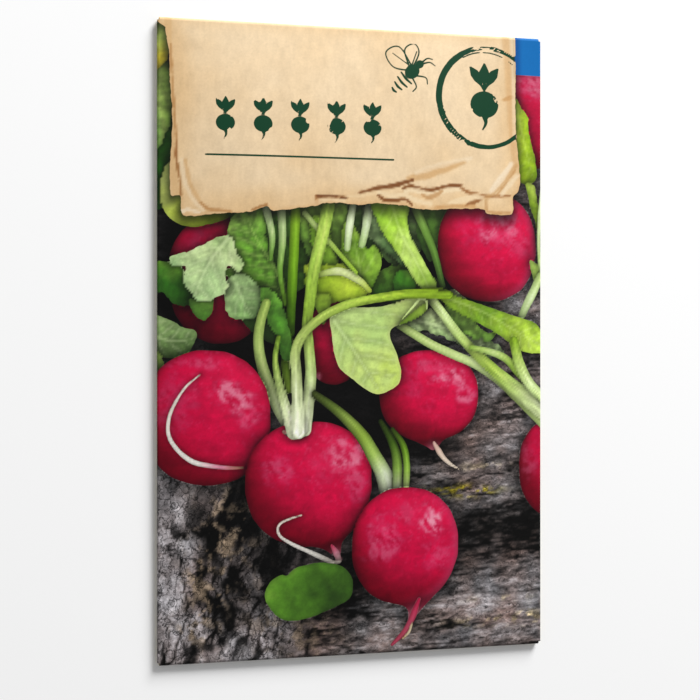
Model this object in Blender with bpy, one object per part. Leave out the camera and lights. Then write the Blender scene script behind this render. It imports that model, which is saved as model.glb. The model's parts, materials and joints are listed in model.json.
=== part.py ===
"""A flat paper seed packet lying on its back, printed front up.

One die-cut sheet makes the whole envelope. Its left edge folds round to the back panel, its right
edge to a narrow seam flap, and its two ends to a bottom flap and a closing flap. Three lines of
glue hold the folds, and the seeds lie loose in the pouch between the two panels.

Frame: metres, +Z up, X across the packet, +Y towards its closing flap. The origin is under the
middle of the packet, on the surface that the two end flaps rest on.
"""

import math

import bmesh
import bpy
import numpy as np

# Driving dimensions, in metres.
WIDTH = 0.100  # outside, fold to fold
HEIGHT = 0.157  # outside, fold to fold
PAPER = 0.00015  # caliper of the sheet
CLEAR = 0.00015  # air left between two pieces, or two layers, that touch
GLUE = 0.00005  # thickness of a dried line of glue
BELLY = 0.0033  # how far the seeds push the front panel up over its edges

SEAM_FLAP = 0.014  # reach of the narrow flap under the right edge
SEAM_INSET = 0.003  # the back panel stops this far short of the right edge
END_FLAP = 0.015  # reach of the bottom flap and the closing flap
FLAP_TAPER = 0.00055  # each end flap is cut back this much at its two ends
NOTCH = 0.00075  # the side folds stop this far from the packet's ends

GLUE_WIDTH = 0.006
GLUE_MARGIN = 0.004  # glue stays this far back from a flap's ends

SEED_LENGTH = 0.0026
SEED_WIDTH = 0.0023
SEED_DEPTH = 0.0021
SEED_COLUMNS = 6
SEED_ROWS = 8
SEED_PITCH = 0.0072
SEED_JITTER = 0.0018
SEED_RANDOM = 7

# Stack of the layers, measured up from the surface, at the middle of each sheet's thickness.
GLUED_STEP = PAPER + 2 * CLEAR + GLUE  # from one layer to the next across a line of glue
FLAP_Z = PAPER / 2
BACK_Z = FLAP_Z + GLUED_STEP
SEAM_Z = BACK_Z + GLUED_STEP
FRONT_Z = SEAM_Z + PAPER + CLEAR

SIDE_RADIUS = (FRONT_Z - BACK_Z) / 2
SEAM_RADIUS = (FRONT_Z - SEAM_Z) / 2
END_RADIUS = (FRONT_Z - FLAP_Z) / 2

# Where the folds begin on the front panel.
LEFT_X = -WIDTH / 2 + SIDE_RADIUS + PAPER / 2
RIGHT_X = WIDTH / 2 - SEAM_RADIUS - PAPER / 2
END_Y = HEIGHT / 2 - END_RADIUS - PAPER / 2
SIDE_Y = HEIGHT / 2 - NOTCH

FRONT_COLUMNS = 16
FRONT_ROWS = 24
FOLD_STEPS = 6


def clear_scene():
    """Take every object out, so that the script starts from nothing."""
    for thing in list(bpy.data.objects):
        bpy.data.objects.remove(thing, do_unlink=True)


def material(name, colour, roughness):
    """A plain material in linear RGB."""
    made = bpy.data.materials.new(name)
    made.use_nodes = True
    shader = made.node_tree.nodes["Principled BSDF"]
    shader.inputs["Base Color"].default_value = (*colour, 1.0)
    shader.inputs["Roughness"].default_value = roughness
    shader.inputs["Metallic"].default_value = 0.0
    return made


def add_object(name, mesh, look):
    """Put a mesh into the scene as one named piece."""
    piece = bpy.data.objects.new(name, mesh)
    bpy.context.scene.collection.objects.link(piece)
    mesh.materials.append(look)
    return piece


def roll(over, radius):
    """Follow a sheet past its fold line.

    over is how much paper has passed the line. Returns how far the paper has gone outward, which
    falls again once it has turned back, and how far it has dropped.
    """
    turn = math.pi * radius
    if over <= 0:
        return 0.0, 0.0
    if over < turn:
        angle = over / radius
        return radius * math.sin(angle), radius * (1 - math.cos(angle))
    return turn - over, 2 * radius


def belly(x, y):
    """Rise of the front panel: flat-topped, and nothing along the four edges."""
    across = min(1.0, abs(2 * x / WIDTH))
    along = min(1.0, abs(2 * y / HEIGHT))
    return BELLY * (1 - across**2.5) * (1 - along**4)


def folded(u, v):
    """Place of one point of the flat sheet, (u, v), once the sheet is folded.

    u and v are distances along the sheet from the middle of the front panel. A point has passed a
    side fold or an end fold but never both, because the sheet is notched at its corners.
    """
    x = min(max(u, LEFT_X), RIGHT_X)
    y = min(max(v, -END_Y), END_Y)
    z = FRONT_Z + belly(x, y)
    if u < LEFT_X:
        out, drop = roll(LEFT_X - u, SIDE_RADIUS)
        x = LEFT_X - out
    elif u > RIGHT_X:
        out, drop = roll(u - RIGHT_X, SEAM_RADIUS)
        x = RIGHT_X + out
    else:
        out, drop = roll(abs(v) - END_Y, END_RADIUS)
        y += out * math.copysign(1.0, v)
    return x, y, z - drop


def steps(start, stop, count):
    """Evenly spaced values from start to stop, without start itself."""
    return [start + (stop - start) * (i + 1) / count for i in range(count)]


def sheet_columns():
    """Distances across the sheet, from the back panel's free edge to the seam flap's."""
    back_end = LEFT_X - math.pi * SIDE_RADIUS - (WIDTH / 2 - SEAM_INSET - LEFT_X)
    back_start = LEFT_X - math.pi * SIDE_RADIUS
    flap_root = -WIDTH / 2 + FLAP_TAPER
    columns = [back_end]
    columns += steps(back_end, back_start, 4)
    columns += steps(back_start, LEFT_X, FOLD_STEPS)
    columns += [flap_root]
    columns += steps(flap_root, -flap_root, FRONT_COLUMNS)
    columns += [RIGHT_X]
    columns += steps(RIGHT_X, RIGHT_X + math.pi * SEAM_RADIUS, FOLD_STEPS)
    columns += steps(RIGHT_X + math.pi * SEAM_RADIUS, RIGHT_X + SEAM_FLAP, 2)
    return columns


def sheet_rows():
    """Distances along the sheet, from the bottom flap's free edge to the closing flap's."""
    fold_end = END_Y + math.pi * END_RADIUS
    half = steps(SIDE_Y, END_Y, 1) + steps(END_Y, fold_end, FOLD_STEPS)
    half += steps(fold_end, END_Y + END_FLAP, 2)
    middle = [-SIDE_Y] + steps(-SIDE_Y, SIDE_Y, FRONT_ROWS)
    return [-v for v in reversed(half)] + middle + half


def in_sheet(u, v):
    """Whether the sheet has paper at (u, v), a point inside one cell of its grid."""
    if abs(v) < SIDE_Y:
        return True
    if abs(v) < END_Y:
        return LEFT_X < u < RIGHT_X
    return abs(u) < WIDTH / 2 - FLAP_TAPER


def make_envelope(look):
    """Fold the one sheet, then give it its caliper."""
    columns = sheet_columns()
    rows = sheet_rows()
    shape = bmesh.new()
    corners = {}

    def corner(i, j):
        if (i, j) not in corners:
            corners[i, j] = shape.verts.new(folded(columns[i], rows[j]))
        return corners[i, j]

    for i in range(len(columns) - 1):
        for j in range(len(rows) - 1):
            middle = (columns[i] + columns[i + 1]) / 2, (rows[j] + rows[j + 1]) / 2
            if in_sheet(*middle):
                cell = corner(i, j), corner(i + 1, j), corner(i + 1, j + 1), corner(i, j + 1)
                shape.faces.new(cell)
    mesh = bpy.data.meshes.new("folded_sheet")
    shape.to_mesh(mesh)
    shape.free()
    piece = add_object("folded_sheet", mesh, look)
    wall = piece.modifiers.new("caliper", "SOLIDIFY")
    wall.thickness = PAPER
    wall.offset = 0.0
    wall.use_even_offset = True
    return piece


def make_glue(name, centre, size, look):
    """A flat line of glue with softened ends, as a shallow eight-sided slab."""
    half_x, half_y = size[0] / 2, size[1] / 2
    cut = min(half_x, half_y) * 0.6
    outline = [
        (half_x, half_y - cut),
        (half_x - cut, half_y),
        (cut - half_x, half_y),
        (-half_x, half_y - cut),
        (-half_x, cut - half_y),
        (cut - half_x, -half_y),
        (half_x - cut, -half_y),
        (half_x, cut - half_y),
    ]
    shape = bmesh.new()
    face = shape.faces.new([shape.verts.new((x, y, -GLUE / 2)) for x, y in outline])
    raised = bmesh.ops.extrude_face_region(shape, geom=[face])["geom"]
    top = [part for part in raised if isinstance(part, bmesh.types.BMVert)]
    bmesh.ops.translate(shape, verts=top, vec=(0, 0, GLUE))
    bmesh.ops.recalc_face_normals(shape, faces=shape.faces)
    mesh = bpy.data.meshes.new(name)
    shape.to_mesh(mesh)
    shape.free()
    piece = add_object(name, mesh, look)
    piece.location = centre
    return piece


def make_glue_lines(look):
    """The side seam's glue, and one line under each end flap."""
    seam_left = WIDTH / 2 - SEAM_FLAP
    seam_right = WIDTH / 2 - SEAM_INSET
    seam_x = (seam_left + seam_right) / 2
    seam_length = 2 * (SIDE_Y - GLUE_MARGIN)
    make_glue("seam_glue", (seam_x, 0, (BACK_Z + SEAM_Z) / 2), (GLUE_WIDTH, seam_length), look)
    flap_y = HEIGHT / 2 - END_FLAP / 2
    flap_z = (FLAP_Z + BACK_Z) / 2
    flap_size = (WIDTH - 2 * FLAP_TAPER - 2 * GLUE_MARGIN, GLUE_WIDTH)
    make_glue("bottom_flap_glue", (0, -flap_y, flap_z), flap_size, look)
    make_glue("closing_flap_glue", (0, flap_y, flap_z), flap_size, look)


def seed_mesh(name, random):
    """A lumpy egg: a sphere with two soft dents, scaled to a seed's length, width and depth."""
    shape = bmesh.new()
    bmesh.ops.create_icosphere(shape, subdivisions=2, radius=0.5)
    dents = random.normal(size=(2, 3))
    dents /= np.linalg.norm(dents, axis=1, keepdims=True)
    size = np.array([SEED_LENGTH, SEED_WIDTH, SEED_DEPTH]) * random.uniform(0.92, 1.0, 3)
    for vert in shape.verts:
        way = np.array(vert.co.normalized())
        depth = sum(math.exp(-6 * float(np.sum((way - dent) ** 2))) for dent in dents)
        vert.co = way * 0.5 * (1 - 0.10 * depth) * size
    mesh = bpy.data.meshes.new(name)
    shape.to_mesh(mesh)
    shape.free()
    return mesh


def make_seeds(look):
    """One layer of seeds, scattered on the inside of the back panel."""
    random = np.random.default_rng(SEED_RANDOM)
    floor = BACK_Z + PAPER / 2 + CLEAR
    number = 0
    for row in range(SEED_ROWS):
        for column in range(SEED_COLUMNS):
            number += 1
            name = f"seed_{number:02d}"
            piece = add_object(name, seed_mesh(name, random), look)
            x = (column - (SEED_COLUMNS - 1) / 2) * SEED_PITCH
            y = (row - (SEED_ROWS - 1) / 2) * SEED_PITCH
            x, y = np.array([x, y]) + random.uniform(-SEED_JITTER, SEED_JITTER, 2)
            piece.rotation_euler = (0, 0, random.uniform(0, 2 * math.pi))
            lowest = min(vert.co.z for vert in piece.data.vertices)
            piece.location = (x, y, floor - lowest)


def main():
    clear_scene()
    paper = material("printed_paper", (0.45, 0.33, 0.24), 0.6)
    glue = material("dried_glue", (0.80, 0.76, 0.62), 0.35)
    seed = material("seed_coat", (0.33, 0.17, 0.09), 0.7)
    make_envelope(paper)
    make_glue_lines(glue)
    make_seeds(seed)


main()
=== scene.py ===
# %% [markdown]
# # A paper seed packet
# The packet is one sheet of paper made partly from grass fibre, printed on its outside, folded at both
# sides and both ends, and glued behind. It lies on its back. The lesson has three parts: fold the sheet,
# print its front, then light it. The picture on the front is drawn by formulas: each radish, stalk and
# leaf is a small function of where a point lies on the paper, so no image file is needed.

# %% Load the fixed frame
import json
import math

import bpy
import numpy as np
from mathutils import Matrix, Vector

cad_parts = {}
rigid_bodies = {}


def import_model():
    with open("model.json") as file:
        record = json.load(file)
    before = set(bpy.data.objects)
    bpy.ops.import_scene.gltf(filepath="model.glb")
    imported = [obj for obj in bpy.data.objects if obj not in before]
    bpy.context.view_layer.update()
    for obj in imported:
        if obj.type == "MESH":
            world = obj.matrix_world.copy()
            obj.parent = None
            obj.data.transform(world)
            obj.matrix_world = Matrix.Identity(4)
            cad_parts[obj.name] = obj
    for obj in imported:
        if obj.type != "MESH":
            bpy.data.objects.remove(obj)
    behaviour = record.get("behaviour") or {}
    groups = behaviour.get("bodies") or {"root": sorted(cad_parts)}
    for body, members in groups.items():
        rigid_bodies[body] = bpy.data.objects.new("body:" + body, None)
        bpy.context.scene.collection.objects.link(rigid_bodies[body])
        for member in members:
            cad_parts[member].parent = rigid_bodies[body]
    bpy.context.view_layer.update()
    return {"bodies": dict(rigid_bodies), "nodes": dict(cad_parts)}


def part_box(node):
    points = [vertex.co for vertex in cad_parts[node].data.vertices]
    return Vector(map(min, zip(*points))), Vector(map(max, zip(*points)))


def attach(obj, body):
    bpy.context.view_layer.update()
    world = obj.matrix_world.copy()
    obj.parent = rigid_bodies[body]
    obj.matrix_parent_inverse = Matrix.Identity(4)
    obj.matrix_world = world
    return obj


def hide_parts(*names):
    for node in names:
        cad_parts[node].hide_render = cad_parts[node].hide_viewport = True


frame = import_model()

MM = 0.001
low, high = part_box("folded_sheet")
PACKET_WIDTH = round((high[0] - low[0]) / MM, 1)  # in millimetres, as all the paper sizes below
PACKET_HEIGHT = round((high[1] - low[1]) / MM, 1)
print("packet", PACKET_WIDTH, "x", PACKET_HEIGHT, "mm, CAD nodes:", len(frame["nodes"]))

# %% [markdown]
# ## The folded sheet
# A real packet is cut flat, as a cross: the front in the middle, the back panel on its left, a narrow
# seam flap on its right and a flap at each end. Folding is a function from a place on the flat sheet to
# a place in space. Past a fold line the paper follows half a turn of a small roll, then runs straight
# back underneath. Working it out this way keeps the sheet in one piece, as paper is, and gives each
# point of the print a place on the flat sheet.

# %% Sizes of the fold
PAPER = 0.15  # caliper of the sheet
LAYER_STEP = 0.50  # from one glued layer of paper to the next, middle to middle
FLAP_Z = PAPER / 2
BACK_Z = FLAP_Z + LAYER_STEP
SEAM_Z = BACK_Z + LAYER_STEP
FRONT_Z = SEAM_Z + 2 * PAPER
SEAM_FLAP = 14.0  # reach of the narrow flap under the right edge
SEAM_INSET = 3.0  # the back panel stops this far short of the right edge
END_FLAP = 15.0  # reach of the flap at each end
FLAP_TAPER = 0.55  # each end flap is cut back this much at its two ends
NOTCH = 0.75  # the side folds stop this far from the packet's ends
SIDE_ROLL = (FRONT_Z - BACK_Z) / 2
SEAM_ROLL = (FRONT_Z - SEAM_Z) / 2
END_ROLL = (FRONT_Z - FLAP_Z) / 2
LEFT_X = -PACKET_WIDTH / 2 + SIDE_ROLL + PAPER / 2
RIGHT_X = PACKET_WIDTH / 2 - SEAM_ROLL - PAPER / 2
END_Y = PACKET_HEIGHT / 2 - END_ROLL - PAPER / 2
SIDE_Y = PACKET_HEIGHT / 2 - NOTCH
BELLY = high[2] / MM - FRONT_Z - PAPER  # the seeds push the front up this far, less room for ripples
RIPPLE = 0.10  # height of the shallow waves in the front
print("belly", round(BELLY, 2), "mm over an edge", round(FRONT_Z + PAPER / 2, 2), "mm thick")


# %% Fold the sheet
def ease(start, stop, value):
    """0 before start, 1 after stop, and an S-shaped ramp between them."""
    t = np.clip((value - start) / (stop - start), 0.0, 1.0)
    return t * t * (3 - 2 * t)


def roll(over, radius):
    """How far paper has gone outward and dropped, once a length 'over' of it has passed a fold.

    It follows half a circle of the radius and then runs straight back.
    """
    angle = np.clip(over / radius, 0.0, math.pi)
    out = radius * np.sin(angle) - np.maximum(over - math.pi * radius, 0.0)
    return out, radius * (1 - np.cos(angle))


def belly(x, y):
    """Rise of the front panel: a flat-topped pillow with a few long, shallow ripples in the paper."""
    across, along = np.abs(2 * x / PACKET_WIDTH), np.abs(2 * y / PACKET_HEIGHT)
    pillow = (1 - np.minimum(across, 1) ** 2.5) * (1 - np.minimum(along, 1) ** 4)
    ripple = np.sin(x / 9.0 + y / 31.0) * np.sin(y / 17.0 - x / 40.0 + 0.8)
    return BELLY * pillow + RIPPLE * ripple * ease(0.0, 0.25, pillow)


def folded(u, v):
    """Places in space of the points (u, v) of the flat sheet, measured from the middle of its front."""
    x, y = np.clip(u, LEFT_X, RIGHT_X), np.clip(v, -END_Y, END_Y)
    left, left_drop = roll(LEFT_X - u, SIDE_ROLL)
    right, right_drop = roll(u - RIGHT_X, SEAM_ROLL)
    end, end_drop = roll(np.abs(v) - END_Y, END_ROLL)
    z = FRONT_Z + belly(x, y) - left_drop - right_drop - end_drop
    return np.stack([x - left + right, y + end * np.sign(v), z], axis=-1)


def facing(u, v, step=0.02):
    """Unit normals of the printed side, from the cross product of two short steps along the sheet."""
    along_u = folded(u + step, v) - folded(u - step, v)
    along_v = folded(u, v + step) - folded(u, v - step)
    normal = np.cross(along_u, along_v)
    return normal / np.linalg.norm(normal, axis=-1, keepdims=True)


# %% [markdown]
# The printed side needs a fine net of points, because the picture is stored on them, but the inside of
# the paper does not. So the two sides share only some of their grid lines: about one in twelve of the
# front's lines is also a line of the inside. A narrow wall of triangles joins the two nets round the cut
# edge, which makes the paper one closed solid with a real caliper.

# %% Grid lines of the flat sheet
def spaced(spans):
    """Grid lines over a row of spans (end, fine steps, steps shared with the inside).

    Returns all the lines, and which of them the inside shares.
    """
    lines, shared = [spans[0][0]], [0]
    for end, fine, coarse in spans[1:]:
        start = lines[-1]
        first = len(lines) - 1
        lines += [start + (end - start) * (i + 1) / fine for i in range(fine)]
        shared += [first + fine * (i + 1) // coarse for i in range(coarse)]
    return np.array(lines), np.array(shared)


back_start = LEFT_X - math.pi * SIDE_ROLL
back_end = back_start - (PACKET_WIDTH / 2 - SEAM_INSET - LEFT_X)
flap_end = PACKET_WIDTH / 2 - FLAP_TAPER
seam_start = RIGHT_X + math.pi * SEAM_ROLL
fold_end = END_Y + math.pi * END_ROLL
BEE = (7.0, 22.5, 61.0, 75.0)  # left, right, bottom and top of the finest drawing: the net is closest there
columns, inner_columns = spaced([
    (back_end,), (back_start, 4, 4), (LEFT_X, 5, 5), (-flap_end, 1, 1), (BEE[0], 124, 10), (BEE[1], 60, 3),
    (flap_end, 54, 5), (RIGHT_X, 1, 1), (seam_start, 4, 4), (RIGHT_X + SEAM_FLAP, 3, 3)])
rows, inner_rows = spaced([
    (-END_Y - END_FLAP,), (-fold_end, 3, 3), (-END_Y, 6, 6), (-SIDE_Y, 1, 1), (BEE[2], 294, 24),
    (BEE[3], 56, 4), (SIDE_Y, 6, 1), (END_Y, 1, 1), (fold_end, 6, 6), (END_Y + END_FLAP, 3, 3)])
print(len(columns), "x", len(rows), "lines outside,", len(inner_columns), "x", len(inner_rows), "inside")


# %% Build the sheet as one closed solid
def on_sheet(u, v):
    """Whether the cross-shaped sheet has paper at a point inside one cell of the grid."""
    panel = np.abs(v) < SIDE_Y
    end = (np.abs(v) >= SIDE_Y) & (np.abs(v) < END_Y) & (u > LEFT_X) & (u < RIGHT_X)
    return panel | end | ((np.abs(v) >= END_Y) & (np.abs(u) < flap_end))


def net(us, vs):
    """The cells and numbered corners of one side of the sheet: (cell mask, corner numbers, u, v)."""
    mid_u, mid_v = np.meshgrid((us[1:] + us[:-1]) / 2, (vs[1:] + vs[:-1]) / 2, indexing="ij")
    cells = on_sheet(mid_u, mid_v)
    used = np.zeros((len(us), len(vs)), bool)
    for i, j in ((0, 0), (1, 0), (0, 1), (1, 1)):
        used[i:i + cells.shape[0], j:j + cells.shape[1]] |= cells
    number = np.full(used.shape, -1)
    number[used] = np.arange(used.sum())
    grid_u, grid_v = np.meshgrid(us, vs, indexing="ij")
    return cells, number, grid_u[used], grid_v[used]


def quads(cells, number):
    """The four corners of every cell that has paper, counter-clockwise from the printed side."""
    i, j = np.nonzero(cells)
    return np.stack([number[i, j], number[i + 1, j], number[i + 1, j + 1], number[i, j + 1]], axis=1)


def cut_edge(cells, inner, outer):
    """Triangles of the wall between the nets, one fan for each edge of an inside cell with no neighbour."""
    wall = []
    padded = np.pad(cells, 1)
    # each side of a cell: the step to its neighbour, and the two corners that the side joins
    sides = (((0, -1), (0, 0), (1, 0)), ((1, 0), (1, 0), (1, 1)),
             ((0, 1), (1, 1), (0, 1)), ((-1, 0), (0, 1), (0, 0)))
    for i, j in zip(*np.nonzero(cells)):
        for (di, dj), (ai, aj), (bi, bj) in sides:
            if padded[i + 1 + di, j + 1 + dj]:
                continue
            start = inner_columns[i + ai], inner_rows[j + aj]
            stop = inner_columns[i + bi], inner_rows[j + bj]
            count = max(abs(stop[0] - start[0]), abs(stop[1] - start[1]))
            across = np.linspace(start[0], stop[0], count + 1).round().astype(int)
            along = np.linspace(start[1], stop[1], count + 1).round().astype(int)
            fine = outer[across, along]
            first, last = inner[i + ai, j + aj], inner[i + bi, j + bj]
            wall += [(b, a, first) for a, b in zip(fine[:-1], fine[1:])]
            wall.append((fine[-1], first, last))
    return wall


outer_cells, outer_number, outer_u, outer_v = net(columns, rows)
inner_cells, inner_number, inner_u, inner_v = net(columns[inner_columns], rows[inner_rows])
outer_count = len(outer_u)
outside = folded(outer_u, outer_v) + facing(outer_u, outer_v) * PAPER / 2
inside_face = folded(inner_u, inner_v) - facing(inner_u, inner_v) * PAPER / 2
inner_number = np.where(inner_number < 0, -1, inner_number + outer_count)
outer_faces = quads(outer_cells, outer_number)
inner_faces = quads(inner_cells, inner_number)[:, ::-1]
wall_faces = cut_edge(inner_cells, inner_number, outer_number)
packet_mesh = bpy.data.meshes.new("printed_packet")
packet_mesh.from_pydata(np.vstack([outside, inside_face]) * MM, [],
                        outer_faces.tolist() + inner_faces.tolist() + wall_faces)
packet = bpy.data.objects.new("printed_packet", packet_mesh)
bpy.context.scene.collection.objects.link(packet)
packet_mesh.shade_smooth()
packet_mesh.set_sharp_from_angle(angle=math.radians(40))
triangles = 2 * (len(outer_faces) + len(inner_faces)) + len(wall_faces)
print("sheet:", outer_count, "points outside,", triangles, "triangles, valid:", not packet_mesh.validate())

# %% [markdown]
# ## Inks
# On the real packet a lifelike picture is printed on the flat sheet. It could be an image file wrapped on
# the paper, but shapes worked out by formulas stay sharp and can be changed one at a time. So every printed
# thing is painted onto the points of the sheet, from the back of the picture to the front.
# Each layer keeps two things at each point: its colour, and how many millimetres the point lies inside
# the layer's outline. Colours change softly, so they can be stored far apart, and the distance is turned
# into a sharp outline later, in the material. That keeps edges crisp without a very fine net.

# %% Small tools for painting
LAYERS = ["wood", "leaf", "stem", "radish", "root", "label", "stamp"]
NOT_PRINTED = -9.0  # the distance stored where a layer has no ink
LEVEL_BOARD, UPRIGHT_BOARD = 1.0, 9.0  # boards lie everywhere, so their distance says which way they run
GRAIN = np.random.default_rng(3).random((256, 256))


def rgb(code):
    """An sRGB hex colour as three numbers from 0 to 1."""
    return np.array([int(code[i:i + 2], 16) for i in (0, 2, 4)]) / 255.0


def blend(first, second, share):
    """Moves from the first colour to the second by a share at each point."""
    return first + (second - first) * np.asarray(share)[..., None]


def ramp(colours, place):
    """Colours read along a row of hex colours, at places from 0 to 1."""
    row = np.array([rgb(code) for code in colours])
    at = np.linspace(0, 1, len(row))
    return np.stack([np.interp(place, at, row[:, i]) for i in range(3)], axis=1)


def mottle(x, y, size, seed=0, octaves=3):
    """Soft noise from about -1 to 1: random heights on a square net, blended smoothly, in a few sizes."""
    total, weight = 0.0, 0.0
    for k in range(octaves):
        px = x / size * 2 ** k + 37.7 * seed + 11.3 * k
        py = y / size * 2 ** k + 91.1 * seed + 5.9 * k
        ix, iy = np.floor(px), np.floor(py)
        fx, fy = px - ix, py - iy
        fx, fy = fx * fx * (3 - 2 * fx), fy * fy * (3 - 2 * fy)
        i, j = ix.astype(int) % 256, iy.astype(int) % 256
        lower = GRAIN[i, j] * (1 - fx) + GRAIN[(i + 1) % 256, j] * fx
        upper = GRAIN[i, (j + 1) % 256] * (1 - fx) + GRAIN[(i + 1) % 256, (j + 1) % 256] * fx
        total = total + (lower * (1 - fy) + upper * fy - 0.5) * 2 / 1.7 ** k
        weight += 1 / 1.7 ** k
    return total / weight * 1.6


def curve(points, closed=False, steps=7):
    """A smooth line through the points (a Catmull-Rom spline)."""
    p = np.array(points, float)
    if closed:
        q = np.vstack([p[-1:], p, p[:2]])
    else:
        q = np.vstack([2 * p[0] - p[1], p, 2 * p[-1] - p[-2]])
    t = np.linspace(0, 1, steps, endpoint=False)[:, None]
    parts = []
    for a, b, c, d in zip(q[:-3], q[1:-2], q[2:-1], q[3:]):
        bend = (2 * a - 5 * b + 4 * c - d) * t ** 2 + (3 * b - a - 3 * c + d) * t ** 3
        parts.append(0.5 * (2 * b + (c - a) * t + bend))
    return np.vstack(parts) if closed else np.vstack(parts + [p[-1:]])


def follow(x, y, path):
    """The nearest place on a line: (distance, distance signed by side, length so far, whole length)."""
    best, side, along = np.full(x.shape, 1e9), np.zeros(x.shape), np.zeros(x.shape)
    run = 0.0
    for (ax, ay), (bx, by) in zip(path[:-1], path[1:]):
        dx, dy = bx - ax, by - ay
        length = math.hypot(dx, dy)
        t = np.clip(((x - ax) * dx + (y - ay) * dy) / length ** 2, 0, 1)
        ex, ey = x - ax - t * dx, y - ay - t * dy
        away = np.hypot(ex, ey)
        near = away < best
        best = np.where(near, away, best)
        side = np.where(near, np.sign(dx * ey - dy * ex), side)
        along = np.where(near, run + t * length, along)
        run += length
    return best, side * best, along, run


def within(x, y, outline):
    """How far each point lies inside a closed outline, negative outside (a point in polygon test)."""
    best, inside = np.full(x.shape, 1e9), np.zeros(x.shape, bool)
    for (ax, ay), (bx, by) in zip(outline, np.roll(outline, -1, axis=0)):
        dx, dy = bx - ax, by - ay
        t = np.clip(((x - ax) * dx + (y - ay) * dy) / (dx * dx + dy * dy + 1e-12), 0, 1)
        best = np.minimum(best, (x - ax - t * dx) ** 2 + (y - ay - t * dy) ** 2)
        inside ^= ((ay > y) != (by > y)) & (x < ax + (y - ay) * dx / (dy or 1e-12))
    return np.where(inside, 1, -1) * np.sqrt(best)


def width_along(widths, place):
    """A brush width read along a row of widths, at places from 0 to 1."""
    return np.interp(place, np.linspace(0, 1, len(widths)), widths)


# %% The sheet being painted
art_x, art_y = outer_u, outer_v
inks = {layer: np.zeros((len(art_x), 3)) for layer in LAYERS}
edges = {layer: np.full(len(art_x), NOT_PRINTED) for layer in LAYERS}


def near(points, margin=4.0):
    """Numbers of the sheet's points within a margin of the box round some points."""
    p = np.array(points, float)
    first, last = p.min(0) - margin, p.max(0) + margin
    return np.nonzero((art_x > first[0]) & (art_x < last[0]) & (art_y > first[1]) & (art_y < last[1]))[0]


def lay(layer, where, edge, colour, depth=0.45, reach=1.1):
    """Lays one printed thing over all that is there.

    It joins its own layer and is cut out of the others, and darkens what lies around it by 'depth',
    fading over 'reach' millimetres, like the shade where two things touch.
    """
    shade = np.where(edge < 0, 1 - depth * np.exp(np.minimum(edge, 0) / reach), 1.0)[:, None]
    for name in LAYERS:
        inks[name][where] *= shade
        if name == layer:
            taken = (edge >= 0) | (edge > edges[name][where])
            inks[name][where[taken]] = colour[taken]
            edges[name][where] = np.maximum(edges[name][where], edge)
        elif name != "wood":
            edges[name][where] = np.minimum(edges[name][where], -edge)


print("layers:", ", ".join(LAYERS), "on", len(art_x), "points")

# %% [markdown]
# ### Old boards
# The vegetables lie on weathered boards. Wood greys as it ages and splits along its grain, so its tone is
# noise that is stretched along the grain, with dark splits where the noise is highest. Moss and rust
# gather in the damp places, and it is nearly black under the heap, where no light gets in.

# %% Paint the boards
def blots(x, y, rows):
    """The sum of soft round blots, each (x, y, width, height, strength)."""
    total = np.zeros_like(x)
    for cx, cy, rx, ry, strength in rows:
        total += strength * np.exp(-((x - cx) / rx) ** 2 - ((y - cy) / ry) ** 2)
    return total


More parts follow.
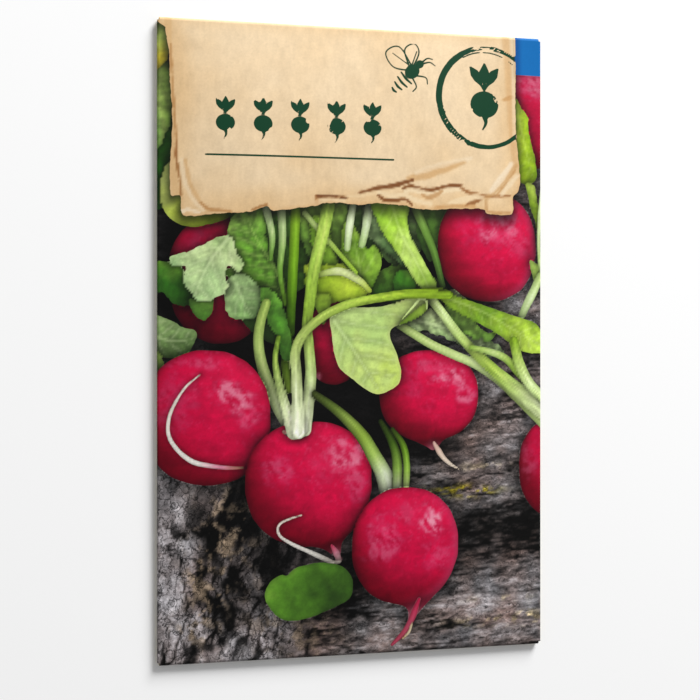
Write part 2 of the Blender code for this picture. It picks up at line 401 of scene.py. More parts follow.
def paint_boards():
    """Level grain at the right, and cracked upright boards with lichen at the lower left."""
    x, y = art_x, art_y
    upright = ease(-6, -20, x + 3 * mottle(x, y, 9, 1)) * ease(-26, -34, y)
    warp = mottle(x, y, 14, 2, 2)
    # level boards: long streaks, and dark splits that thin out to points
    gx, gy = x + 2 * warp, y - 0.05 * x + 1.3 * warp
    flow, fine = mottle(gx / 8, gy, 1.7, 3, 4), mottle(gx / 4, gy, 0.6, 4, 3)
    level = 0.40 + 0.15 * flow + 0.15 * fine + 0.10 * mottle(gx / 2.5, gy, 0.9, 19, 3)
    slit = np.abs(mottle(gx / 9, gy, 2.4, 5, 3))
    level -= 0.34 * ease(0.16, 0.03, slit) * ease(-0.5, 0.4, mottle(x / 3, y, 4, 6))
    # upright boards: pale blocks between a net of dark cracks
    vx = x + 1.5 * warp + 0.9 * mottle(x, y, 4, 7, 3)
    vy = y + 3 * warp + 0.9 * mottle(x, y, 3.5, 16, 3)
    grain = mottle(vx, vy / 2, 1.6, 8, 4)
    stood = 0.53 + 0.15 * mottle(vx, vy / 1.6, 4.5, 17, 2) + 0.20 * grain
    crack = ease(0.17, 0.03, np.abs(mottle(vx, vy / 3.2, 5.2, 10, 3)))
    crack = crack + 0.8 * ease(0.13, 0.02, np.abs(mottle(vx / 2.6, vy, 3.6, 11, 3)))
    crack = crack + 0.9 * ease(0.1, 0.7, mottle(vx, vy / 3, 4.0, 18, 4))
    stood -= 0.46 * np.clip(crack, 0, 1) * ease(-0.7, 0.2, mottle(x, y, 7, 12))
    tone = level * (1 - upright) + stood * upright
    tone += blots(x, y, [
        (-42, -53, 9, 7, 0.06), (-46, -67, 5, 11, 0.24), (-28, -72, 10, 5, 0.20), (-47, -39, 8, 5, 0.02),
        (-31, -44, 8, 10, -0.46), (-37, -47, 4, 9, -0.2), (-34, -58, 5, 9, -0.22), (-14, -74, 7, 5, -0.24),
        (-20, -52, 6, 5, -0.3), (38, -50, 15, 7, -0.28), (47, -46, 8, 6, -0.22), (28, -46, 8, 5, -0.18),
        (30, -60, 16, 4, -0.04), (33, -67, 16, 5, 0.20), (45, -73, 12, 4, 0.04), (8, -72, 7, 5, 0.10),
        (30, -32, 14, 6, 0.06), (44, 8, 7, 6, 0.26), (45, 42, 4, 6, 0.15), (38, -14, 12, 6, 0.04),
        (48, -4, 8, 3, -0.18), (20, -27, 4, 3, -0.15), (-2, -62, 6, 9, -0.34), (2, -50, 4, 10, -0.25)])
    shade = np.clip(blots(x, y, [
        (-22, -5, 16, 9, 1.0), (-5, -18, 12, 12, 1.0), (-3, -35, 8, 14, 0.8), (-26, 3, 16, 6, 1.0),
        (-12, 12, 18, 16, 0.9), (8, 24, 18, 14, 1.0), (5, -8, 12, 10, 0.9), (-46, 26, 8, 12, 1.0),
        (-47, 9, 8, 8, 0.9), (12, -24, 10, 8, 0.9), (-26, -24, 3, 3, 0.8), (26, 10, 10, 6, 0.9),
        (-28, -36, 6, 5, 0.8), (24, -28, 9, 3, 0.35), (22, 26, 6, 12, 0.7)]), 0, 1)
    tone = np.clip(tone * (1 - 0.95 * shade), 0.02, 0.80)
    warm = 0.40 + 0.5 * mottle(x, y, 6, 13, 3) + blots(x, y, [
        (-33, -45, 8, 10, 0.7), (-40, -60, 3, 9, 0.9), (38, -50, 15, 8, 0.4), (30, -28, 16, 8, 0.3),
        (-14, -74, 8, 6, 0.8), (36, -71, 10, 2, 0.6), (40, -15, 12, 10, 0.2)])
    warm = np.clip(warm, 0, 1.2) * (1 - 0.7 * ease(0.45, 0.75, tone)) * (1 - 0.5 * upright)
    colour = np.stack([tone * (1.00 + 0.12 * warm), tone * (0.98 - 0.03 * warm), tone * (1.00 - 0.10 * warm)],
                      axis=1)
    # crusts of brown lichen, straw and moss: noise cut off at a level, inside soft blots
    crust = mottle(x, y, 2.2, 14, 4)
    fine = fine * (1 - upright) + grain * upright
    for code, cut, blot_rows in (
            ("94806a", 0.05, [(-33, -46, 7, 12, 1), (-40, -58, 3.5, 10, 1), (-42, -71, 4, 4, 1),
                              (-14, -73, 9, 5, 0.8), (-36, -62, 3, 9, 0.9), (-24, -66, 5, 8, 0.5)]),
            ("c9b58c", 0.15, [(36, -71.5, 10, 1.2, 1.1), (47, -71, 4, 2, 0.9), (32, -32, 8, 1.2, 0.6),
                              (38, -66, 8, 0.8, 0.7)]),
            ("8a7d12", -0.2, [(25, -37.4, 5.5, 1.3, 1.2), (33, -38, 5, 1.1, 0.9), (28, -39, 6, 1, 0.4)])):
        share = ease(cut, cut + 0.4, crust + 0.6 * fine) * np.clip(blots(x, y, blot_rows), 0, 1)
        colour = blend(colour, rgb(code) * (0.72 + 0.55 * fine[:, None]), 0.85 * share)
    inks["wood"][:] = np.clip(colour, 0, 1)
    edges["wood"][:] = LEVEL_BOARD + (UPRIGHT_BOARD - LEVEL_BOARD) * upright


paint_boards()
print("mean tone of the boards", round(float(inks["wood"].mean()), 2))

# %% [markdown]
# ### Three brushes
# A radish is a round body: its outline is a squarish circle that can be longer on any of four sides, its
# shading comes from the sphere that such an outline suggests, and a pale waxy bloom sits where it faces
# the light. A stalk or root is a stroke: a smooth line with a width and a colour that change along it,
# shaded as a rod. A leaf is a closed outline with a mid rib, side veins and soft hollows between them.


# %% Brush for a radish
def radish(centre, left, right, up, down, square=2.15, blooms=(), tone=1.0, light=(0.42, 0.5), tip=None,
           seed=0, depth=0.6, reach=1.6, rim=0.0):
    """A red radish: half widths to each side, blooms as (x, y, width, height, strength) in half widths.

    Its outline is where |x / half width| to the power 'square', plus the same for y, is 1. A tip is a line
    of points and its two widths, joined on smoothly.
    """
    cx, cy = centre
    where = near([(cx - left, cy - down), (cx + right, cy + up)] + ([tip[1]] if tip else []))
    x, y = art_x[where] - cx, art_y[where] - cy
    qx, qy = x / np.where(x < 0, left, right), y / np.where(y < 0, down, up)
    rho = (np.abs(qx) ** square + np.abs(qy) ** square) ** (1 / square) + 1e-6
    edge = np.hypot(x, y) * (1 / rho - 1)
    if tip:
        dist, _, along, run = follow(art_x[where], art_y[where], curve(tip[:-2]))
        taper = width_along(tip[-2:], along / run) / 2 - dist
        joined = np.clip(0.5 + 0.5 * (taper - edge) / 4.0, 0, 1)
        edge = edge * (1 - joined) + taper * joined + 4.0 * joined * (1 - joined)
    edge = edge + 0.12 * mottle(x, y, 3.2, 20 + seed, 2)
    bulge = np.sqrt(1 - np.clip(rho, 0, 1) ** 2)
    facing_light = np.clip(0.55 * bulge + light[0] * qx + light[1] * qy + 0.28, 0, 1.15)
    body = blend(rgb("6a0016"), rgb("ca083e"), ease(0.0, 0.80, facing_light))
    body = blend(body, rgb("d31a48"), 0.55 * ease(0.75, 1.1, facing_light))
    body = body * (0.70 + 0.30 * ease(0.0, 0.50, bulge))[:, None]
    streak = mottle(qx * 3 + 1.2 * mottle(x, y, 5, 30 + seed), qy * 5, 0.7, 21 + seed, 3)
    cloud = mottle(x, y, 2.6, 22 + seed, 4)
    patchy = ease(-0.9, 0.5, mottle(x + y / 2, y, 1.5, 23 + seed, 4))
    body = body * (1 + 0.09 * streak + 0.05 * cloud)[:, None]
    for bx, by, br, bq, strength in blooms:
        far = np.hypot((qx - bx) / br, (qy - by) / bq)
        share = ease(1.15, 0.35, far + 0.34 * cloud + 0.20 * streak) * patchy
        body = blend(body, rgb("ee9db2"), strength * share)
    specks = ease(0.35, 0.9, mottle(x + 0.5 * y, y, 1.0, 25 + seed, 3)) * ease(0.3, 1.0, facing_light)
    body = blend(body, rgb("e9788f"), 0.22 * specks)
    body = blend(body, rgb("d9587c"), rim * ease(0.80, 0.97, rho) * np.clip(qx * 0.9 - 0.2 * qy, 0, 1))
    if tip:
        body = blend(body, rgb("d98595"), 0.85 * ease(0.2, 1.0, joined * along / run))
    lay("radish", where, edge, np.clip(body * tone, 0, 1), depth, reach)


# %% Brush for a stalk or root
def stroke(layer, points, widths, colours, gloss=0.4, dark=0.36, lean=0.2, depth=0.4, reach=0.7,
           ridges=0.08, seed=0, fuller=1.0, tint=(1.0, 1.0, 1.0)):
    """A rod along a smooth line, darker at its sides, with a shine towards the light at the upper right.

    Its half width less the distance from the line is how far a point lies inside it, and the place across
    it gives the shade of a round rod.
    """
    path = curve(points)
    where = near(path, 3.5)
    x, y = art_x[where], art_y[where]
    dist, side, along, run = follow(x, y, path)
    width = width_along(widths, along / run) * fuller
    edge = width / 2 - dist + 0.04 * mottle(x, y, 1.6, 40 + seed, 2)
    body = ramp(colours, along / run) * np.array(tint)
    across = np.clip(side / (width / 2 + 1e-6), -1, 1)
    heading = (path[-1] - path[0]) / np.hypot(*(path[-1] - path[0]))
    lit_side = across * (np.sign(0.8 * heading[0] - 0.6 * heading[1]) or 1)
    bulge = np.sqrt(1 - across ** 2)
    body = body * (1 - dark * (1 - bulge) - 0.16 * dark * (1 - lit_side))[:, None]
    body = body * (1 + ridges * mottle(across * 2.5, along / 7, 0.8, 41 + seed, 3))[:, None]
    shine = np.exp(-((lit_side - lean) / 0.22) ** 2) * (0.7 + 0.3 * mottle(along, across, 5, 42 + seed))
    body = blend(body, np.clip(body * 1.35 + 0.10, 0, 1), gloss * shine)
    lay(layer, where, edge, np.clip(body, 0, 1), depth, reach)


def stalk(points, widths, colours, **more):
    """A leaf stalk: plump, and fresh green with the light through it."""
    stroke("stem", points, widths, colours, fuller=1.12, tint=(1.10, 1.12, 1.0), **more)


def root(points, widths, colours, **more):
    """A thin root hair, or the skin at a crown or a tip."""
    stroke("root", points, widths, colours, **more)


# %% Brush for a leaf
LEAF_TINT = (1.14, 1.12, 0.94)  # sunlit leaves are a little yellower than the colours named below


def leaf(outline, colours, way=(0.6, 0.8), midrib=None, veins=0.5, vein_gap=3.2, rough=0.25, bumps=0.25,
         seed=0, depth=0.55, reach=1.3, frill=1.2, vein_colour="d9e4b4", rim=0.0):
    """A leaf whose colours change along 'way', with veins that leave the mid rib at a slant.

    A vein lies where the length along the rib, less 0.9 of the distance from it, is a whole number of gaps.
    """
    path = curve(outline, closed=True)
    where = near(path)
    x, y = art_x[where], art_y[where]
    edge = within(x, y, path) + rough * mottle(x, y, frill, 50 + seed, 2)
    first, last = path.min(0), path.max(0)
    place = ((x - first[0]) / (last[0] - first[0]) - 0.5) * way[0]
    place = place + ((y - first[1]) / (last[1] - first[1]) - 0.5) * way[1]
    place = place / (abs(way[0]) + abs(way[1])) + 0.5 + 0.22 * mottle(x, y, 5, 51 + seed)
    body = ramp(colours, np.clip(place, 0, 1)) * np.array(LEAF_TINT)
    slope = mottle(x - 0.5, y - 0.5, 2.6, 52 + seed) - mottle(x + 0.5, y + 0.5, 2.6, 52 + seed)
    body = body * (1 + 0.7 * bumps * np.clip(slope * 1.2, -0.8, 0.8))[:, None]
    body = body * (1 + 0.04 * mottle(x, y, 0.9, 53 + seed, 2))[:, None]
    if midrib is not None:
        dist, _, along, run = follow(x, y, curve(midrib))
        phase = (along - 0.9 * dist + 0.5 * mottle(x, y, 3, 54 + seed)) / vein_gap
        off = np.abs(phase - np.round(phase)) * vein_gap
        fade = ease(0.0, 0.8, dist) * ease(0.2, 1.4, edge) * (along < run * 0.98)
        body = blend(body, rgb(vein_colour), 0.6 * veins * fade * ease(0.55, 0.10, off))
        body = body * (1 - 0.25 * veins * fade * ease(0.9, 0.35, np.abs(off - 0.75)))[:, None]
        thick = 0.55 - 0.35 * along / run
        body = blend(body, rgb(vein_colour), 0.75 * veins * ease(1.0, 0.4, dist / thick))
        body = body * (1 - 0.25 * veins * np.exp(-((dist - thick * 1.4) / 0.35) ** 2))[:, None]
    body = body * (1 - 0.18 * ease(0.9, 0.0, edge))[:, None]
    body = blend(body, np.clip(body * 1.25 + 0.12, 0, 1), rim * ease(0.6, 0.15, edge))
    body = blend(body, rgb("a6b78c"), 0.13)  # a thin waxy bloom greys every leaf a little
    lay("leaf", where, edge, np.clip(body, 0, 1), depth, reach)


def covered():
    """What share of the painted points each layer of the heap covers so far, in percent."""
    return {layer: round(100 * float((edges[layer] > 0).mean()), 1) for layer in LAYERS[1:5]}


print("brushes ready, covered so far:", covered())

# %% [markdown]
# ### The heap, from back to front
# Paint goes on in the order that things lie in the heap: the far radishes and leaves first, then the
# stalks, and last the four roots in front with their thin white hairs. All places are in millimetres from
# the middle of the packet, so each row can be checked against a ruler.

# %% Far radishes and the leaves at the left
radish((-35, 16), 12.6, 13.5, 15, 16.5, tone=0.84, blooms=[(-0.45, 0.45, 0.35, 0.3, 0.18)], seed=1,
       depth=0.5)
radish((-6.5, -0.5), 7.5, 7, 10.5, 10.3, tone=0.84, blooms=[(-0.55, -0.80, 0.12, 0.10, 0.6)], seed=2,
       depth=0.5)
radish((47.5, 58), 9, 9, 15, 13.5, tone=0.95, blooms=[(-0.3, 0.62, 0.6, 0.35, 0.45),
       (0.2, 0.5, 0.4, 0.3, 0.3)], seed=3)
leaf([(-51, 34), (-47, 36), (-46, 50), (-46.5, 66), (-51, 66)], ["0b3a06", "1c5a10", "4c8a2c"],
     way=(0.1, 1), bumps=0.35, seed=1)
leaf([(-51, 47), (-48, 50), (-46.4, 57), (-46.6, 64), (-48, 68), (-51, 68)], ["3c6d30", "86a05a", "5d8a30"],
     way=(1, 0.4), bumps=0.4, seed=2)
leaf([(-51, 66), (-48, 68), (-46.5, 72), (-47.2, 80), (-51, 80)], ["b0a02c", "a9c06a", "8fb070"],
     way=(0, 1), bumps=0.3, seed=3)
leaf([(-46.6, 43.5), (-48.8, 40), (-49.4, 36), (-48.4, 31.8), (-46, 29), (-42, 27.7), (-38, 28.3),
     (-33, 30), (-30, 34), (-40, 40)], ["6f8a14", "a9bd3f", "c3d283"], way=(-0.7, 0.6), rough=0.1,
     bumps=0.15, seed=4)
leaf([(-51, 18.5), (-45, 19), (-43.3, 15), (-41.3, 12), (-41, 10), (-43.5, 8.3), (-46, 9.2), (-48.5, 11.5),
     (-51, 12.5)], ["123c08", "1e5410", "5c8a2c"], way=(-0.3, 0.9), seed=5, rough=0.3)
leaf([(-42.6, 10.5), (-40, 9.6), (-37, 10.5), (-36.8, 7.5), (-39, 5.1), (-41.5, 6.8)], ["2c5a18", "5f8f3a"],
     seed=6, rough=0.25)
leaf([(-51, 5.8), (-47.5, 5.4), (-44.5, 3.6), (-41, 2.6), (-40.8, 0.5), (-42.2, -2.2), (-44.5, -4.2),
     (-48, -3.8), (-51, -2)], ["3f6030", "6f9060", "8aa87c"], way=(-0.2, 0.9), midrib=[(-50, 1), (-46, 0),
     (-41.5, 0.5)], veins=0.5, seed=7)
leaf([(-51, -2), (-49, -4), (-48.6, -6), (-51, -7.5)], ["4a6a2a", "7f9a50"], seed=8)
print("far radishes and left leaves:", covered())

# %% Leaves behind the stalks
leaf([(-33, 33), (-26, 35), (-14, 35), (-8, 35), (-9, 26), (-12, 17), (-16, 12), (-22, 14), (-28, 20)],
     ["1c3a0c", "2f5a18", "4a7a28"], way=(0.3, 0.8), seed=61, bumps=0.5)
leaf([(-9, 35), (0, 35.5), (7, 35), (8, 27), (4, 21), (-2, 19), (-8, 22)], ["24481a", "4a7a30", "7a9e58"],
     way=(-0.3, 0.8), seed=62, bumps=0.5, midrib=[(6, 34), (0, 28), (-7, 23)], veins=0.3)
leaf([(6, 35), (14, 35), (19, 33), (18, 26), (14, 21), (9, 19), (5, 24)], ["1f4218", "5a8048", "93ad80"],
     way=(-0.6, 0.6), seed=63, bumps=0.5, midrib=[(7, 33), (12, 27), (15, 21)], veins=0.4)
leaf([(16, 35), (24, 35), (23, 30), (22.4, 25), (20, 20), (17, 22), (15, 28)], ["1c3c10", "3c6420",
     "5a8438"], way=(0.4, 0.7), seed=64, bumps=0.4)
leaf([(-30, 9), (-24, 13), (-20, 10), (-18, 4), (-20, -1), (-25, 1), (-29, 4)], ["0c1c06", "1c3a10",
     "2c5218"], way=(0.3, 0.8), seed=65, bumps=0.5)
leaf([(2, 14), (6, 18), (12, 19), (20, 16), (24, 12), (20, 9), (12, 9), (4, 11)], ["1f4a10", "3a6a1c",
     "6a9034"], way=(0.2, 0.8), seed=66, bumps=0.5)
leaf([(-14, 34), (-15, 26), (-12, 20), (-8, 18), (-5, 21), (-3, 26), (-4, 34)], ["3a6a20", "6c9a3c",
     "8ab04e"], way=(0.3, 0.8), seed=9, bumps=0.4)
leaf([(2, 34), (1, 28), (5, 24), (10, 20), (14, 16), (15, 19), (12, 25), (9, 34)], ["20401c", "5f8258",
     "a3b79a"], way=(-0.5, 0.7), seed=10, bumps=0.5)
leaf([(-12.4, 30), (-8.4, 30), (-7, 23), (-5.4, 18.5), (-8.6, 15), (-11.7, 20)], ["4f8a14", "7fb030",
     "9cc44a"], way=(0.5, 0.5), seed=11, bumps=0.2)
leaf([(-4, 29), (-1, 28.2), (1.8, 23), (4.2, 24), (5.6, 19), (3.6, 13.9), (0, 12.4), (-3, 15.9),
     (-4.8, 21.2)], ["4c8414", "7fb034", "9cc450"], way=(0.4, 0.7), seed=12, bumps=0.25, veins=0.3,
     midrib=[(-1, 13), (0, 18), (-2, 27)])
leaf([(-14, 18.6), (-10, 18.6), (-5, 19), (0, 16), (2.4, 12.6), (0, 10.4), (-5, 10), (-9, 9), (-13, 11)],
     ["6f9c14", "a0c42c", "c8d850"], way=(0.6, 0.5), seed=13, bumps=0.12)
stalk([(-10.5, 16.5), (-5, 17.3), (0, 15), (2.5, 12.6)], [1.2, 1.8, 1.8, 1.2], ["a9c060", "dfe8b4",
      "dbe6a8", "b4c850"], seed=1, gloss=0.2)
leaf([(9.2, 16.5), (10.5, 17.8), (13, 17.5), (14.5, 15.5), (14, 12.5), (9.5, 12.4), (8.8, 14.5)], ["1c4a0c",
     "2f6c14", "6f9a3c"], seed=14)
leaf([(-13.5, 10.5), (-8, 12), (-7.5, 8.5), (-9, 4), (-10, 5), (-11, 8)], ["4a7018", "7c9c2c"], seed=15)
leaf([(13, 7.5), (18, 8), (23, 6.5), (29, 4.5), (35, 0), (39, -2.5), (37, -4), (30, -3), (24, 0.5),
     (18, 2.5), (12, 3)], ["3a5a30", "8ea884", "b4c6a4"], way=(0.2, 0.8), rough=0.6, frill=1.6, bumps=0.6,
     seed=16, veins=0.5, midrib=[(14, 5.5), (24, 3), (36, -2)])
leaf([(22, 12), (24, 13.2), (26, 13.6), (27, 11.8), (28.5, 10.6), (28.8, 9), (25, 9.5)], ["a9bf98",
     "c2d2b4"], rough=0.3, seed=17, bumps=0.25)
leaf([(23, 9), (28, 8.6), (30, 6), (32, 3.5), (36, 2), (35, 0), (30, 1), (25, 4)], ["2c4a18", "5f8838",
     "8cab60"], rough=0.5, seed=18, bumps=0.6)
leaf([(32, 8.4), (38, 6.5), (43, 5.8), (46.5, 4.2), (47.3, 2), (47.4, 0.4), (43, 1.8), (38, 5)], ["5a8420",
     "8fae4a", "a5bd6a"], seed=19, rough=0.25, bumps=0.3)
print("leaves behind the stalks:", covered())

# %% Radishes and leaves at the right
radish((34.5, 24), 13.8, 14, 14.5, 13.8, square=2.2, seed=4, blooms=[(0.25, 0.42, 0.5, 0.45, 0.6),
       (0.62, 0.1, 0.25, 0.4, 0.25), (-0.4, 0.3, 0.3, 0.4, 0.12)], rim=0.5, light=(0.38, 0.42))
radish((55.5, -32), 12, 12, 12.5, 14, seed=5, blooms=[(-0.75, 0.1, 0.25, 0.4, 0.3)], tone=0.95)
# leaves right of the label
leaf([(42.5, 61.5), (44.5, 60), (46.2, 58), (46.4, 55), (47.2, 51), (48.4, 47), (48.9, 43), (47.5, 41),
     (45, 40.5), (43, 44)], ["6f9410", "9cc01c", "b6d04a"], way=(-0.4, 0.5), seed=20, rough=0.15, bumps=0.2,
     midrib=[(43, 60), (45, 52), (47.4, 43)], veins=0.25)
leaf([(45.6, 40.5), (48, 40.2), (49, 36), (49.6, 30), (49.9, 24), (49, 24), (48.4, 31), (46.5, 36)],
     ["3c5c08", "6f8f1c", "a3b85c"], seed=21, bumps=0.3)
leaf([(46.8, 21), (49, 20.3), (51, 20), (51, 14), (48.5, 15), (47.3, 17.5)], ["6f9040", "93b05c"], seed=22)
stalk([(50.5, 40), (49.6, 32), (49.4, 24), (50, 18)], [1.0, 0.9, 0.9], ["b8c8a0", "c8d8a8", "9fb878"],
      seed=2)
stalk([(50, 17), (47.6, 12.5), (45.6, 9), (44, 5.8)], [2.0, 2.2, 1.8], ["a9c07a", "c9dab0", "b0c890"],
      seed=3)
print("right side:", covered())

# %% Notched leaf and pale leaves
leaf([(-32, 30), (-30, 33), (-24, 34), (-24, 28), (-22.5, 21), (-19, 15), (-17.3, 8.5), (-20, 9.6),
     (-24, 12.5), (-28.5, 14.5), (-33.2, 16), (-33.4, 17.3), (-31, 18.7), (-30.6, 21), (-32.8, 23.5),
     (-33, 27)], ["3f6e1c", "5c9430", "93b864"], way=(-0.3, 0.9), midrib=[(-18, 9), (-21, 17), (-26, 25),
     (-29, 32)], veins=0.55, rough=0.35, seed=23, bumps=0.5, vein_colour="b4cc70")
leaf([(-33.5, 14), (-33.6, 9.6), (-33, 6.2), (-30.5, 5.3), (-28, 5.4), (-26, 6.6), (-25, 9), (-24.6, 11.6),
     (-27, 15), (-31, 16.5)], ["6a9460", "8fb486", "a9c8a0"], way=(-0.5, 0.6), seed=24, rough=0.3,
     bumps=0.25, midrib=[(-31, 14), (-29, 9), (-27, 6)], veins=0.4)
leaf([(-47, 20.3), (-43, 21.6), (-38, 24), (-34.6, 25.6), (-32.2, 25), (-31, 22), (-29.4, 18.6),
     (-30.5, 17), (-33, 18.4), (-33.5, 15.5), (-33, 13), (-34.6, 11.6), (-38, 10), (-41, 10.3), (-42.2, 12),
     (-43.9, 14.6), (-43.2, 18.2), (-45.3, 18.2)], ["7fae80", "a9cca4", "c0d8b4", "8fb480"], way=(0.5, 0.6),
     seed=25, rough=0.28, bumps=0.22, rim=0.3, midrib=[(-33, 25), (-37, 20), (-40, 14), (-41, 11)],
     veins=0.45)
print("notched and pale leaves:", covered())

# %% Stalks of the big bunch
stalk([(-18.2, 1), (-18.8, -6), (-18, -12)], [2.2, 2.0, 1.4], ["3a5c10", "55721e", "6a8030"], seed=4,
      gloss=0.1)
stalk([(-16.2, 34), (-16.8, 21), (-17.4, 9), (-17.6, 2)], [2.2, 2.2, 2.2, 1.8], ["8ab030", "74a022",
      "5d8a18", "3c6410"], seed=5)
stalk([(-20, 34), (-19.6, 25), (-20.2, 17), (-19, 9)], [2.0, 1.7, 1.2, 0.8], ["c3d6a8", "a9c48a", "6f9a40",
      "5a8420"], seed=6)
stalk([(-24, 34), (-22.2, 26), (-22.6, 20)], [1.8, 1.5, 0.9], ["c8d8b4", "a5c088", "5f8a34"], seed=7)
leaf([(-25, 13), (-21, 11.5), (-18.3, 5.1), (-16.8, -4.3), (-19.6, -4), (-21.6, 2), (-24.2, 7)], ["1c4410",
     "3c7420", "5c9434"], way=(0.3, 0.8), seed=26, rough=0.3, bumps=0.4)
stalk([(-17.4, -22), (-20.4, -17), (-23, -11), (-24.9, -5), (-25.6, 0), (-25, 5), (-23.6, 9.4)], [2.4, 2.6,
      2.5, 2.2, 2.0], ["e3ead0", "c8d8a4", "acc07c", "9fb46a", "90a858"], seed=8)
stalk([(-14, 31.5), (-10, 27), (-5, 21.5), (-0.8, 17)], [1.3, 1.2, 1.1, 0.9], ["a9c07a", "b4cc80", "9fc050",
      "8ab034"], seed=14)
stalk([(-1.6, 34), (-2.6, 28.5), (-3.2, 23)], [1.6, 1.8, 1.4], ["cfe0b8", "e3ecd8", "b4cc98"], seed=15)
stalk([(2.6, 34), (1.6, 28), (0.6, 24)], [2.0, 1.9, 1.6], ["cdddb4", "d4e2c4", "a9c48a"], seed=16)
stalk([(14.5, 34), (17, 28.5), (19.8, 22), (22, 14)], [2.2, 1.9, 1.7, 1.4], ["8fb060", "6a9040", "567c34",
      "3f5c28"], seed=17)
leaf([(3, 36), (12.5, 36), (12.6, 30), (13.6, 26), (17, 20), (20.4, 14), (18.8, 11.6), (15.6, 14),
     (11.4, 20), (7.2, 25.6), (4.6, 30)], ["7fb428", "9ccc40", "b9dc78", "8fb848"], way=(0.6, -0.3),
     veins=0.3, seed=27, midrib=[(8, 36), (10.5, 28), (14.6, 20.5), (18.8, 12.6)], bumps=0.15, vein_gap=4,
     rough=0.1)
print("stalks of the bunch:", covered())

# %% The bundle that runs out at the right
stalk([(24, 11.5), (21, 12.2), (17, 12.1)], [2.2, 2.4, 2.4], ["8fae2c", "8aac28", "7f9f20"], seed=18)
leaf([(20, 12.6), (28, 10.8), (36, 8.4), (44, 6), (48.5, 4.6), (51, 1), (51, -2.8), (44, -2.4), (37.2, 2),
     (30.5, 5.4), (24, 8.6)], ["86ac28", "5f8a1c", "93b834", "b4d850"], way=(0.5, -0.6), seed=28,
     rough=0.12, midrib=[(20, 12), (33, 7.6), (42, 3), (50, -1)], veins=0.35, bumps=0.2)
print("bundle at the right:", covered())

# %% Radish under the stalks
radish((18.2, -13.6), 13.0, 13.7, 11.4, 11.6, square=2.15, seed=6, blooms=[(0.42, 0.40, 0.34, 0.22, 0.75),
       (0.72, 0.02, 0.22, 0.22, 0.6), (0.0, 0.62, 0.4, 0.2, 0.3), (-0.35, 0.25, 0.3, 0.4, 0.14)],
       light=(0.35, 0.45), tip=[(17.5, -22.5), (19.6, -26.4), 4.6, 1.6])
# stalks that lie over it
stalk([(9.6, 4.6), (14, 2), (19, -0.8), (25, -3.4), (31, -5.8), (37, -9.4), (43, -14.2), (51, -21)], [1.8,
      2.0, 2.0, 2.1, 2.2, 2.4, 2.8, 3.2], ["b4cc80", "bcd08c", "c6d8a0", "b4c880", "c0d490"], seed=22)
stalk([(18.6, 11), (22, 7), (25.2, 3), (29, -1), (33.2, -4.8), (38, -8.8), (43, -12.6), (51, -18.2)], [2.2,
      2.2, 2.3, 2.3, 2.8, 3.4, 4.0, 4.2], ["c3d890", "c8dba0", "b4cc80", "a5bc60", "9cb850", "b4cc78",
      "d0e0a8", "dbe6bc"], seed=23, ridges=0.2)
stalk([(30, -1.6), (35, -2.6), (39.6, -4.4), (43, -7.8), (47, -11.5), (51, -15.2)], [1.2, 1.8, 1.8, 1.8],
      ["8fae50", "b9cf8c", "90b048", "a0bc5c", "c3d89c"], seed=21)
stalk([(42, 0), (43.6, -5.6), (46.4, -10.6), (51, -15)], [2.4, 2.6, 2.4], ["7c9c28", "b4cc78", "cfe0a8",
      "c0d694"], seed=20, ridges=0.2)
root([(19.7, -25.6), (20.7, -27.2), (22.3, -29.4), (24.4, -31.2), (26.6, -32.4)], [0.8, 1.5, 1.2, 0.9, 0.4],
     ["e6b4a8", "f0d3bc", "f4e2cc", "f0dcc0"], seed=31, gloss=0.3)

print("radish under the stalks:", covered())

# %% Big pale leaf in the middle
leaf([(-7.6, 6.2), (-5, 8.2), (0, 8.4), (5, 8.6), (10, 9.8), (14, 11.3), (16.8, 11.2), (17.8, 9.6),
     (17.2, 7.6), (14, 5.8), (10.5, 4.2), (8.2, 3), (8, 1), (9, -1.5), (10.2, -4.5), (10.9, -8),
     (10.2, -10.6), (8, -12.2), (5, -13.2), (2, -12.2), (-1.5, -9.6), (-5, -6.8), (-6.5, -3), (-7.2, 2)],
     ["b4d058", "b8d084", "a8c884", "bcd69c"], way=(-0.6, 0.5), veins=0.45, rough=0.06, seed=29, bumps=0.07,
     rim=0.45, midrib=[(-6.5, 5), (-3, 0), (1, -6), (5, -12)], vein_gap=5, vein_colour="d2e2ae")
leaf([(10.4, 4.2), (13, 6.6), (16, 8.8), (17.8, 9.8), (17.4, 7.6), (14.4, 5.6)], ["5f8420", "7c9c38"],
     rough=0.03, seed=30, bumps=0.1)
stalk([(11, 5.4), (14, 8.6), (16, 10.6), (17.6, 10.0), (17.7, 8.0)], [0.3, 0.5, 0.7, 0.6, 0.3], ["b4cc80",
      "cfe0a0", "c0d490"], seed=24, depth=0.2)
print("pale leaf:", covered())

